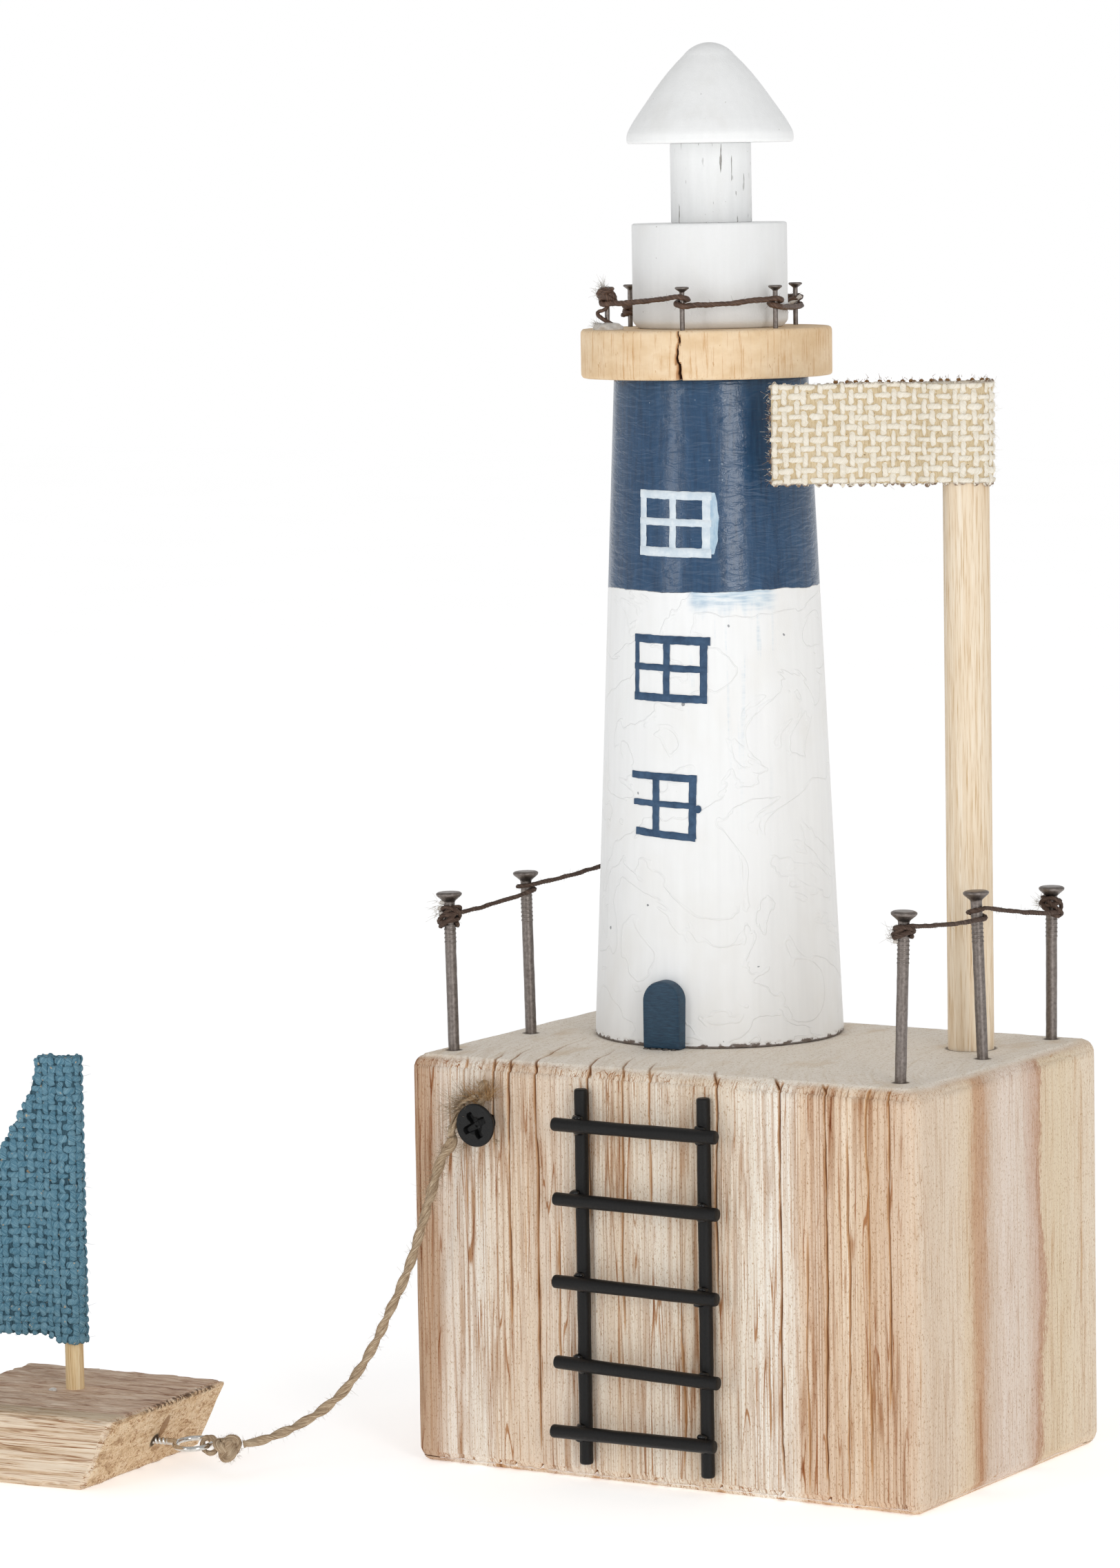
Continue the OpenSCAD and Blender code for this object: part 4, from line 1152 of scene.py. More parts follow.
def add_gallery_disc():
    """A slice of branch wood with an open crack in its rim."""
    r, t = GALLERY_R, GALLERY_T
    a = circle(720)
    outline = np.array(split_long(rounded([(0.02, 0), (r, 0), (r, t), (0.02, t)], 0.7, 4), 0.9))
    radius = outline[:, :1] * np.ones(len(a))
    z = outline[:, 1:] * np.ones(len(a))
    rim = clamp((radius - (r - 3)) / 3)
    arc = a * r
    corner = clamp(1 - np.minimum(z, t - z) / 0.8) * rim
    bark = 0.05 * (1 + field(41, arc / 2.2, z / 25)) + 0.03 * (1 + field(42, arc / 0.7, z / 12))
    depth = rim * bark + corner * 0.18 * (1 + field(43, arc / 3.0, z / 2))
    crack_at = math.radians(-73) + 0.010 * np.sin(z * 0.9) + 0.006 * np.sin(z * 2.3 + 1)
    wide = 0.007 + 0.012 * clamp((6.5 - z) / 6.5)
    gap = np.angle(np.exp(1j * (a - crack_at)))
    crack = np.exp(-(gap / wide) ** 4) * clamp((radius - 15) / 6)
    depth = depth + rim * crack * (1.0 + 1.8 * clamp((7 - z) / 7))
    stain = np.exp(-(gap / (wide * 2.4)) ** 2) * 0.3 * rim
    sink = crack * (1 - rim) * 0.8
    shape = Shape()
    shape.grid(xyz(GALLERY_C[0] + (radius - depth) * np.cos(a), GALLERY_C[1] + (radius - depth) * np.sin(a),
                   GALLERY_Z + np.where(z > t / 2, z - sink, z + sink)),
               closed_u=True, fibre=xyz(np.maximum(crack * rim, stain), 0, 0))
    shape.build("gallery_disc_sawn", GALLERY_WOOD, "root", "gallery_wood", sharp=50,
                replaces=["gallery_disc"])


def add_lantern():
    line = rounded([(0.02, 0), (15.6, 0), (DRUM_R, 1.4), (DRUM_R, DRUM_H), (0.02, DRUM_H)], 0.6, 4)
    add_turned("upper_drum_turned", "upper_drum", DRUM_WHITE_SHADED, "white_paint", (*TOWER, DRUM_Z),
               split_long(line, 1.0), 200, 0.05, 22, 2.6, stretch=5)
    line = rounded([(0.02, 0), (LAMP_R, 0), (LAMP_R, LAMP_H), (0.02, LAMP_H)], 0.25, 3)
    add_turned("lamp_cylinder_turned", "lamp_cylinder", LAMP_WHITE_SHADED, "white_paint",
               (TOWER[0] + 0.6, TOWER[1], LAMP_Z), split_long(line, 0.9), 140, 0.06, 23, 2.2, stretch=7)
    tip = [(ROOF_TIP_R * math.cos(a), ROOF_H - ROOF_TIP_R + ROOF_TIP_R * math.sin(a))
           for a in np.radians(np.arange(37, 90, 6))]
    bell = [(17.5, 3.1), (16.4, 5), (15, 7), (13.5, 9.1), (12.1, 11.1), (10.6, 13.1), (9.0, 15.1), (7.3, 17)]
    line = [(0.02, 0), (ROOF_R - 0.3, 0), (ROOF_R, 0.5), (ROOF_R - 0.03, 2)] + bell + tip + [(0.02, ROOF_H)]
    add_turned("roof_turned", "roof", WHITE, "white_paint", (TOWER[0] + 0.5, TOWER[1], ROOF_Z),
               split_long(rounded(line, 0.5, 4), 0.7), 200, 0.03, 24, 5.0)


# ---------------------------------------------------------------- nails and twines


def nail_line(shank, head, above):
    t = head * 0.28
    c = head * 0.45
    return [(0.01, -2), (shank, -2), (shank, above - t - c), (head * 0.96, above - t),
            (head, above - t * 0.45), (head * 0.82, above), (0.01, above - 0.02)]


def add_rail_nails(name, row, seed):
    shape = Shape()
    for i, (x, y, lean, above) in enumerate(row):
        line = split_long(rounded(nail_line(1.25, 2.85, above), 0.35, 4), 1.2)
        lathe(shape, (x, y, BLOCK[2]), line, 40, 0.05, seed + i, 1.6, tilt=lean)
        for k in range(7):
            h = above - 5.6 - k * 0.9
            ring = [(1.22, h), (1.30, h + 0.16), (1.30, h + 0.30), (1.22, h + 0.46)]
            lathe(shape, (x, y, BLOCK[2]), ring, 40, 0.0, 0, tilt=lean)
    shape.build(name + "_forged", NAIL_STEEL, "root", "nail_steel", sharp=50, replaces=[name])


def add_gallery_nails():
    shape = Shape()
    for i, a in enumerate(GALLERY_NAILS):
        line = split_long(rounded(nail_line(0.56, 1.55, 9.2), 0.18, 3), 0.8)
        lathe(shape, (*on_circle(GALLERY_C, PIN_RING_R, a), DRUM_Z), line, 28, 0.03, 130 + i, 0.9)
    shape.build("gallery_nails_forged", NAIL_STEEL, "root", "nail_steel", sharp=50,
                replaces=["gallery_nails"])


def turns(c, r, a0, a1, z0, z1):
    """A climbing arc round c, in steps of 15 degrees or less."""
    n = int(math.ceil(abs(a1 - a0) / 15))
    f = np.linspace(0, 1, n + 1)
    a = np.radians(a0 + (a1 - a0) * f)
    return xyz(c[0] + r * np.cos(a), c[1] + r * np.sin(a), z0 + (z1 - z0) * f)


def hitched(nails, r, z, sag):
    """The route of a twine hitched once round each nail of a row, as in the CAD."""
    def heading(p, q):
        return math.degrees(math.atan2(q[1] - p[1], q[0] - p[0]))
    route = []
    last = len(nails) - 1
    for i, c in enumerate(nails):
        h_in = heading(nails[0], nails[1]) if i == 0 else heading(nails[i - 1], nails[i])
        h_out = h_in if i == last else heading(nails[i], nails[i + 1])
        a0 = h_in - 90 - (180 if i == 0 else 0)
        low = h_in - 90 + 300
        a1 = h_out - 90 + 360 * math.ceil((low - h_out + 90) / 360) + (180 if i == last else 0)
        here = turns(c, r, a0, a1, z[i][0], z[i][1])
        if route:
            p, q = route[-1][-1], here[0]
            f = np.array([0.15, 0.35, 0.5, 0.65, 0.85])[:, None]
            route.append(p + (q - p) * f - sag * 4 * f * (1 - f) * UP)
        route.append(here)
    return np.concatenate(route)


def end_knot(shape, centre, z_low, z_high, r, thick, seed, loops=3):
    """A lumpy overhand knot drawn tight round a nail."""
    t = np.linspace(0, 2 * np.pi * loops, 60 * loops)
    wave = np.sin(t * (loops - 0.5) / loops + seed)
    wide = r + thick * (1.25 + 0.55 * np.sin(t * 1.7 + seed))
    z = (z_low + z_high) / 2 + (z_high - z_low) / 2 * wave
    path = xyz(centre[0] + wide * np.cos(t), centre[1] + wide * np.sin(t), z)
    twisted(shape, path, thick, 3, 3.2, 14, 0.28, 0.12, seed)


def tuft(shape, start, way, count, length, spread_by, thick=0.04, curl=0.35):
    """A bunch of unravelled fibres."""
    for _ in range(count):
        hair(shape, np.asarray(start) + RNG.normal(size=3) * 0.35,
             unit(way) + RNG.normal(size=3) * spread_by, length * RNG.uniform(0.5, 1.1), thick, curl, 5)


def add_rail_twine(name, row, heights, knots, tufts):
    axes = [(n[0] + (z[0] + z[1]) / 2 * math.tan(math.radians(n[2])), n[1]) for n, z in zip(row, heights)]
    z = [(BLOCK[2] + a, BLOCK[2] + b) for a, b in heights]
    route = resample(hitched(axes, 1.25 + 0.5 + 0.08, z, 0.4), 0.3)
    shape = Shape()
    wander = value_noise(route / 3.0, 140)[:, None] * (0.10 * UP)
    twisted(shape, route + wander, 0.55, 3, 3.4, 14, 0.26, 0.10, 141)
    for i, (low, high) in knots.items():
        end_knot(shape, axes[i], BLOCK[2] + low, BLOCK[2] + high, 1.25, 0.55, 142 + i)
    fuzz(shape, route, 0.5, 1.2, 0.8, 0.025)
    shape.build(name + "_spun", THIN_TWINE, "root", "brown_twine", replaces=[name])
    glue = Shape()
    for i, side, low, high in tufts:
        c = np.array([axes[i][0], axes[i][1], BLOCK[2]])
        side = unit(np.array(side))
        for _ in range(46):
            at = c + side * 2.2 + np.array([0, 0, RNG.uniform(low, high)]) + RNG.normal(size=3) * 0.45
            hair(glue, at, side + RNG.normal(size=3) * 0.7, RNG.uniform(0.6, 1.7), 0.05, 0.6)
        for k in range(4):
            at = c + side * 1.6 + np.array([0, 0, low + (high - low) * k / 3])
            blob = unit(RNG.normal(size=(1, 3)))[0]
            drop(glue, at + blob * 0.25, 0.75, 0.55, 150 + i * 5 + k)
    glue.build(name + "_ends", CLEAR_GLUE, "root", "brown_twine")


def drop(shape, centre, wide, high, seed, n=14):
    """A small uneven blob."""
    a = circle(n * 2)
    b = np.linspace(-np.pi / 2 + 0.05, np.pi / 2 - 0.05, n)[:, None]
    out = xyz(np.cos(b) * np.cos(a), np.cos(b) * np.sin(a), np.sin(b))
    lumps = value_noise(out.reshape(-1, 3) * 1.6 + seed, seed).reshape(out.shape[:2])
    points = np.asarray(centre) + out * np.array([wide, wide, high]) * (1 + 0.22 * lumps)[..., None]
    shape.grid(points, closed_u=True)


def add_gallery_twine():
    nails = [on_circle(GALLERY_C, PIN_RING_R, a) for a in GALLERY_NAILS]
    z = [(DRUM_Z + a, DRUM_Z + b) for a, b in GALLERY_TWINE]
    route = resample(hitched(nails, 0.55 + 0.65 + 0.08, z, 0.2), 0.3)
    shape = Shape()
    wander = value_noise(route / 3.5, 160)[:, None] * (0.22 * UP)
    twisted(shape, route + wander, 0.68, 3, 4.2, 16, 0.26, 0.12, 161)
    first = np.array([*nails[0], DRUM_Z])
    end_knot(shape, nails[0], DRUM_Z + 5.6, DRUM_Z + 8.6, 0.55, 0.68, 162, 4)
    end_knot(shape, nails[5], DRUM_Z + 2.6, DRUM_Z + 4.4, 0.55, 0.62, 167, 2)
    tail = smooth_path([first + (0.6, -0.6, 5.8), first + (0.2, -1.0, 4.4), first + (-1.6, -1.3, 3.8),
                        first + (-1.2, -1.5, 2.9), first + (0.6, -1.2, 1.8), first + (2.2, -0.4, 0.8)], 10)
    twisted(shape, resample(tail, 0.3), 0.55, 3, 3.6, 14, 0.3, 0.15, 168)
    fourth = np.array([*nails[3], DRUM_Z])
    stub = smooth_path([fourth + (-1.6, -1.4, 4.2), fourth + (0.2, -1.5, 5.0), fourth + (1.7, -0.6, 6.4)], 8)
    fuzz(shape, route, 0.6, 1.5, 0.9, 0.03)
    shape.build("gallery_twine_spun", WAXED, "root", "brown_twine", replaces=["gallery_twine"])
    pale = Shape()
    twisted(pale, resample(stub, 0.25), 0.52, 3, 3.2, 14, 0.3, 0.15, 169)
    tuft(pale, first + (-0.6, -0.6, 8.8), (-0.2, -0.1, 1.0), 60, 1.9, 0.55, 0.05)
    tuft(pale, first + (-1.2, -0.6, 7.4), (-1.0, -0.2, 0.5), 36, 1.5, 0.5, 0.045)
    pale.build("gallery_twine_ends", CLEAR_GLUE, "root", "brown_twine")
    glue = Shape()
    drop(glue, first + (0.6, -0.2, 0.1), 3.0, 1.5, 170, 20)
    drop(glue, first + (-1.6, -0.8, 0.3), 1.5, 1.3, 171)
    drop(glue, first + (2.4, 0.2, 0.2), 1.4, 0.9, 172)
    tuft(glue, first + (-1.8, -0.9, 1.0), (-0.8, -0.4, 0.5), 50, 1.6, 0.6, 0.045)
    glue.build("gallery_glue_dab", CLEAR_GLUE, "root", "hot_glue", replaces=["gallery_glue"])


add_block()
add_hull()
add_tower()
add_windows()
add_door()
add_gallery_disc()
add_lantern()
add_rail_nails("left_rail_nails", LEFT_NAILS, 120)
add_rail_nails("right_rail_nails", RIGHT_NAILS, 124)
add_gallery_nails()
add_rail_twine("left_rail_twine", LEFT_NAILS, LEFT_TWINE, {0: (26.6, 30.9), 2: (32.0, 34.6)},
               [(0, (-0.8, -0.6, 0), 28.5, 31.6)])
add_rail_twine("right_rail_twine", RIGHT_NAILS, RIGHT_TWINE, {0: (30.0, 32.4), 2: (26.6, 30.6)},
               [(0, (-0.9, -0.3, 0), 29.4, 32.0), (2, (-0.9, -0.3, 0), 29.0, 30.2)])
add_gallery_twine()

# ---------------------------------------------------------------- cloth


class FoldedStrip:
    """A strip of cloth folded round an upright post, measured along its middle line.

    Seen from above, the line starts at the free end of the front layer, goes round the post and
    comes back along the back layer. The strip's own +x axis points away from the post.
    """

    def __init__(self, centre, turn, post_r, thick, pinch, reach, bottom):
        self.centre = np.array([*centre, bottom])
        self.turn = turn
        eye_r = post_r + thick / 2
        half = thick / 2
        x0 = eye_r * math.cos(math.radians(45))
        flat = np.stack([np.linspace(reach, pinch, 120), np.full(120, half)], 1)
        x = np.linspace(pinch, x0, 60)[1:]
        blend = (1 + np.cos(np.pi * (x - x0) / (pinch - x0))) / 2
        bend = np.stack([x, half + (x0 - half) * blend], 1)
        a = np.radians(np.linspace(45, 315, 160))[1:]
        eye = eye_r * np.stack([np.cos(a), np.sin(a)], 1)
        back = np.concatenate([flat, bend])[::-1] * (1, -1)
        self.line = np.concatenate([flat, bend, eye, back[1:]])
        self.run = distances(self.line)
        self.length = float(self.run[-1])
        way = unit(np.gradient(self.line, axis=0))
        self.out = np.stack([way[:, 1], -way[:, 0]], 1)

    def along(self, s, values):
        return [np.interp(s, self.run, values[:, k]) for k in (0, 1)]

    def plan(self, s):
        return self.along(s, self.line)

    def normal(self, s):
        n = unit(np.stack(self.along(s, self.out), -1))
        return xyz(*rotated(n[..., 0], n[..., 1], self.turn), 0)

    def at(self, s, height, off=0.0):
        flat = xyz(*rotated(*self.plan(s), self.turn), height)
        return self.centre + flat + self.normal(s) * np.asarray(off)[..., None]


def woven_thread(shape, path, normal, wide, thick, seed):
    """One flattened, unevenly spun thread along a path, with the given direction across the cloth."""
    along = unit(np.gradient(path, axis=0))
    normal = unit(normal - (normal * along).sum(1)[:, None] * along)
    a = circle(12)
    run = distances(path)
    uneven = 1 + 0.20 * noise_line(run, seed, 2.4) + 0.12 * noise_line(run, seed + 7, 0.8)
    twist = 2 * np.pi * run[:, None] / 2.6 + seed
    ply = 1 + 0.13 * np.cos(2 * (a - twist))
    tip = clamp(np.minimum(run, run[-1] - run) / 0.35 + 0.45)
    w = (wide / 2 * uneven * tip)[:, None] * ply
    t = (thick / 2 * tip)[:, None] * ply
    points = tube(path, np.cross(along, normal), normal, w * np.cos(a), t * np.sin(a))
    shape.grid(points, closed_u=True, fibre=spun(0.7, a - twist, run + seed * 31))


def weave(strip, low, high, pitch_s, pitch_h, wide, thick, wave, seed, ragged=0.3, hairs=300):
    """Threads over and under each other. low and high give the cloth's edges at plan distance x."""
    shape = Shape()
    s_ends = strip.length
    rows = np.arange(pitch_h / 2, 100, pitch_h)
    all_s = np.arange(0, s_ends + 0.01, 0.4)
    all_x = strip.plan(all_s)[0]
    for j, h in enumerate(rows):
        inside = (low(all_x) < h) & (h < high(all_x))
        if not inside.any():
            continue
        first, last = all_s[inside][0], all_s[inside][-1]
        first = max(0.0, first - ragged * RNG.uniform(0, 1))
        last = min(s_ends, last + ragged * RNG.uniform(0, 1))
        s = np.arange(first, last, 0.42)
        drift = 0.16 * pitch_h * noise_line(s, seed + j, 9.0)
        sway = wave * np.sin(np.pi * s / pitch_s + np.pi * j)
        size = 1 + 0.12 * float(noise_line(j * 3.3, seed + 2)[0])
        woven_thread(shape, strip.at(s, h + drift, sway), strip.normal(s), wide * size, thick, seed + j * 13)
    for k, s0 in enumerate(np.arange(pitch_s / 2, s_ends, pitch_s)):
        s0 = s0 + 0.12 * pitch_s * RNG.normal()
        s0 = min(max(s0, 0.3), s_ends - 0.3)
        x0 = float(strip.plan(np.array([s0]))[0][0])
        bottom, top = float(low(np.array([x0]))[0]), float(high(np.array([x0]))[0])
        if top - bottom < 1.0:
            continue
        h = np.arange(bottom - ragged * RNG.uniform(0, 0.6), top + ragged * RNG.uniform(0, 0.6), 0.42)
        if len(h) < 4:
            continue
        s = s0 + 0.14 * pitch_s * noise_line(h, seed + 100 + k, 9.0)
        s = np.clip(s, 0.2, s_ends - 0.2)
        sway = -wave * (-1) ** k * np.cos(np.pi * (h / pitch_h - 0.5))
        size = 1 + 0.12 * float(noise_line(k * 2.7, seed + 5)[0])
        woven_thread(shape, strip.at(s, h, sway), strip.normal(s), wide * size, thick, seed + 500 + k * 17)
    for _ in range(hairs):
        s = np.array([RNG.uniform(0.2, s_ends - 0.2)])
        x = strip.plan(s)[0]
        bottom, top = float(low(x)[0]), float(high(x)[0])
        if top - bottom < 1:
            continue
        h = RNG.uniform(bottom, top)
        start = strip.at(s, np.array([h]), np.array([wave + thick * 0.3]))[0]
        way = strip.normal(s)[0] * 0.4 + RNG.normal(size=3) * 0.8
        hair(shape, start, way, RNG.uniform(0.4, 1.3), 0.035, 0.5)
    return shape


def gap_shade_sheet(strip, low, high, start, margin=0.4, half=0.10):
    """The thin closed sheet in the middle of the weave. Its finish, darker than the threads, shows in the
    gaps as painted shade and the cloth behind.
    """
    shape = Shape()
    s = np.arange(start, strip.length - start + 0.01, 0.7)
    x = strip.plan(s)[0]
    bottom, top = low(x) + margin, high(x) - margin
    keep = top - bottom > 0.4
    s, bottom, top = s[keep], bottom[keep], top[keep]
    f = np.linspace(0, 1, 22)
    h = bottom[:, None] + (top - bottom)[:, None] * f[None, :]
    grid_s = np.broadcast_to(s[:, None], h.shape)
    inner = strip.at(grid_s, h, np.full(h.shape, -half))
    outer = strip.at(grid_s, h, np.full(h.shape, half))
    ring = np.concatenate([outer, inner[:, ::-1]], axis=1)[:, ::-1]
    shape.grid(ring, closed_u=True)
    return shape, float(np.trapz(top - bottom, s))


def add_flag():
    height = FLAG_H
    strip = FoldedStrip(POLE, FLAG_TURN, 5.0, 1.3, 13, FLAG_REACH, FLAG_TOP - FLAG_H)

    def low(x):
        return 0.25 + 0.35 * noise_line(x, 201, 5.0)

    def high(x):
        return height - 0.35 + 0.30 * noise_line(x, 202, 6.0)

    cloth = weave(strip, low, high, 2.28, 2.2, 1.2, 0.60, 0.30, 210, ragged=0.7, hairs=1300)
    for _ in range(90):
        h = RNG.uniform(1, height - 1)
        start = strip.at(np.array([0.2]), np.array([h]))[0]
        away = np.array([*rotated(1, 0, FLAG_TURN), 0])
        hair(cloth, start, away + RNG.normal(size=3) * 0.6, RNG.uniform(0.5, 1.3), 0.05, 0.5)
    threads = cloth.build("flag_threads", CREAM, "root", "cream_hessian")
    tips = Shape()
    for k, s0 in enumerate(np.arange(strip.length / 2 + 3, strip.length - 14, 2.28)):
        s = np.array([s0 + RNG.normal() * 0.3])
        start = strip.at(s, np.array([height - 0.7]), np.array([0.2]))[0]
        drop(tips, start + (0, 0, 0.5), 0.50, 0.40, 220 + k, 7)
        tuft(tips, start + (0, 0, 0.7), (0, 0, 1), 5, 0.7, 0.5, 0.06)
    tips.build("flag_thread_tips", FLAG_TIPS, "root", "cream_hessian")
    # Painted shade: the darker sheet fills the gaps between the flag's threads.
    sheet, area = gap_shade_sheet(strip, low, high, 0.4)
    piece = sheet.build("flag_cloth", CREAM_GAP_SHADE, "root", "cream_hessian", replaces=["flag"])


def add_sail():
    strip = FoldedStrip(boat_place(*MAST), 192.5 + BOAT_TURN, MAST_R, 1.15, 8, 35.6, SAIL_FOOT_Z)
    edge_x = np.array([6.3, 8.3, 14.8, 21.8, 35.6])
    edge_h = np.array([SAIL_H, SAIL_H * 0.87, SAIL_H * 0.68, SAIL_H * 0.42, 1.5])

    def low(x):
        return np.interp(x, [0, 6], [0.3, 1.7])

    def high(x):
        ragged = 0.5 * noise_line(x, 231, 1.7)
        return np.minimum(np.interp(x, edge_x, edge_h) + ragged * (x > 6), SAIL_H - 0.3)

    cloth = weave(strip, low, high, 2.0, 2.1, 1.46, 0.60, 0.30, 240, ragged=0.45, hairs=1000)
    threads = cloth.build("sail_threads", BLUE, "boat", "blue_hessian")
    # Painted shade: the dark sheet fills the gaps between the sail's threads.
    sheet, area = gap_shade_sheet(strip, low, high, 0.8)
    piece = sheet.build("sail_cloth", BLUE_GAP_SHADE, "boat", "blue_hessian", replaces=["sail"])


# ---------------------------------------------------------------- poles, ladder and hardware


def add_posts():
    line = rounded([(0.02, -18), (POLE_R, -18), (POLE_R, POLE_H), (0.02, POLE_H)], 0.4, 4)
    add_turned("flagpole_turned", "flagpole", POLE_WOOD, "pole_wood", (*POLE, BLOCK[2]),
               split_long(line, 1.6), 96, 0.04, 301, 2.0, stretch=14)
    top = SAIL_FOOT_Z + SAIL_H - 1
    line = rounded([(0.02, 7), (MAST_R, 7), (MAST_R - 0.1, top), (0.02, top)], 0.3, 3)
    add_turned("mast_cut", "mast", BAMBOO, "mast_wood", (*boat_place(*MAST), 0.0),
               split_long(line, 1.2), 60, 0.10, 302, 1.3, stretch=16, body="boat")


def stick(shape, start, end, r, seed):
    """A thin dyed stick with softened ends and a little wander."""
    start, end = np.array(start, float), np.array(end, float)
    way = unit(end - start)
    length = np.linalg.norm(end - start)
    ends = np.array([0, 0.12, 0.3, 0.55])
    s = np.concatenate([ends, np.arange(1.0, length - 1, 0.8), length - ends[::-1]])
    shrink = clamp(np.minimum(s, length - s) / 0.55)
    radius = r * (0.74 + 0.24 * np.sqrt(1 - (1 - shrink) ** 2)) * (1 + 0.02 * noise_line(s, seed, 3.0))
    side = unit(np.cross(way, (0, 1.0, 0)))
    a = circle(28)
    rough = 1 + 0.025 * field(seed, s[:, None] / 4, np.cos(a) * 2, np.sin(a) * 2)
    radius = radius[:, None] * rough
    points = tube(start + way * s[:, None], side[None], np.cross(way, side)[None], radius * np.cos(a),
                  radius * np.sin(a))
    shape.grid(points, closed_u=True, fibre=spun(1.5, a, s))


def add_ladder():
    r = 1.5
    stile_y = FRONT_Y - r - 0.02
    rung_y = FRONT_Y - 3 * r - 0.04
    stiles = [("left", -17.3), ("right", 12.3)]
    rungs = [(-4, 11.2, 0.4), (-2.9, 25.4, -1.7), (-3, 42.8, -1), (-2.6, 60.5, -0.7), (-2.7, 76.5, -0.2)]
    for i, (side, x) in enumerate(stiles):
        shape = Shape()
        stick(shape, (x, stile_y, 4), (x, stile_y, 84), r - 0.03, 310 + i)
        shape.build(f"ladder_stick_{side}", BLACK_STICK, "root", "black_sticks",
                    replaces=[f"ladder_stile_{side}"])
    for i, (x, z, slope) in enumerate(rungs):
        shape = Shape()
        half = 39.5 / 2
        rise = math.tan(math.radians(slope)) * half
        stick(shape, (x - half, rung_y, z - rise), (x + half, rung_y, z + rise), r - 0.03, 320 + i)
        shape.build(f"ladder_rung_stick_{i + 1}", BLACK_STICK, "root", "black_sticks",
                    replaces=[f"ladder_rung_{i + 1}"])
    glue = Shape()
    for i, (x, z, slope) in enumerate(rungs):
        for j, (side, at) in enumerate(stiles):
            height = z + (at - x) * math.tan(math.radians(slope))
            for k in range(2):
                where = (at + RNG.normal() * 0.5, (stile_y + rung_y) / 2 + 0.1,
                         height + (1.3 if k else -1.3) + RNG.normal() * 0.15)
                drop(glue, where, 1.15, 0.75, 330 + i * 4 + j * 2 + k, 9)
    glue.build("ladder_glue", BLACK_GLUE, "root", "black_sticks")


def add_tether_screw():
    """A bugle-headed screw with a tapered cross recess, its axis along Y."""
    head_r, shank_r, stand = 4.63, 1.88, 5.18
    profile = [(0.02, -4), (shank_r, -4), (shank_r, 1.2), (2.5, 2.6), (3.6, 3.8), (head_r - 0.1, 4.35),
               (head_r, 4.62), (head_r - 0.06, 4.92), (head_r - 0.26, 5.12), (head_r - 0.5, stand)]
    profile = split_long(profile, 0.4)
    profile += [np.array([r, stand]) for r in np.arange(head_r - 0.62, 0.02, -0.09)]
    profile = np.array(profile)
    n = 168
    a = circle(n)
    r = profile[:, 0][:, None] * np.ones(n)
    h = profile[:, 1][:, None] * np.ones(n)
    u = r * np.cos(a - math.radians(30))
    v = r * np.sin(a - math.radians(30))
    deep = np.zeros_like(r)
    for p, q in ((u, v), (v, u)):
        wide = 1.0 - 0.10 * np.abs(p)
        inside = clamp((wide - np.abs(q)) / 0.22) * clamp((3.0 - np.abs(p)) / 0.35)
        deep = np.maximum(deep, inside * (1.9 - 0.25 * np.abs(p)))
    flare = clamp(1 - (np.hypot(u, v) - 0.6) / 1.4) * 1.1
    deep = np.maximum(deep, flare)
    deep = deep + 0.05 * (1 + field(340, u / 0.5, v / 0.5))
    h = h - deep * (h > stand - 0.01)
    ridge = 0.22 * (0.5 + 0.5 * np.cos(2 * np.pi * h / 1.5 + a)) ** 3
    r = r + ridge * (np.abs(h + 1) < 2.2) * (np.abs(r - shank_r) < 0.01)
    points = xyz(SCREW[0] + r * np.cos(a), FRONT_Y - h, SCREW[1] + r * np.sin(a))
    shape = Shape()
    shape.grid(points, closed_u=True)
    shape.build("tether_screw_head", BLACK_STEEL, "root", "black_steel", sharp=45,
                replaces=["tether_screw"])


# Plies that lie loose beside the screw, and the ends that stick out: start, heading, count and length
LOOSE_PLIES = [((-45.6, -44.4, 78.6), (-47.6, -45.2, 76.4), (-48.6, -46, 72.6)),
               ((-44.8, -45.4, 77.8), (-46.6, -46.2, 75.6), (-47.4, -46.8, 72.4)),
               ((-42.4, -44.8, 80.8), (-45.2, -45.0, 79.6), (-47.4, -45, 77.6))]
WRAP_ENDS = [((-46.2, -44.4, 78.6), (-0.9, -0.2, 0.5), 110, 3.6),
             ((-46.8, -44.6, 77.0), (-1.0, -0.4, 0.1), 90, 3.2),
             ((-45.0, -44.2, 80.0), (-0.7, -0.2, 0.8), 80, 3.0),
             ((-44.4, -45.8, 70.8), (-0.5, -0.5, -0.9), 30, 2.2),
             ((-37.4, -45.6, 72.2), (0.8, -0.3, -0.5), 16, 1.6)]
FRAYED_ENDS = [((-39.6, -44.6, 80.6), (0.25, 0.0, 1.0), 110, 3.6),
               ((-40.8, -44.4, 80.8), (-0.15, -0.1, 1.0), 90, 3.0),
               ((-42.6, -44.2, 80.0), (-0.8, -0.1, 0.7), 90, 3.2)]


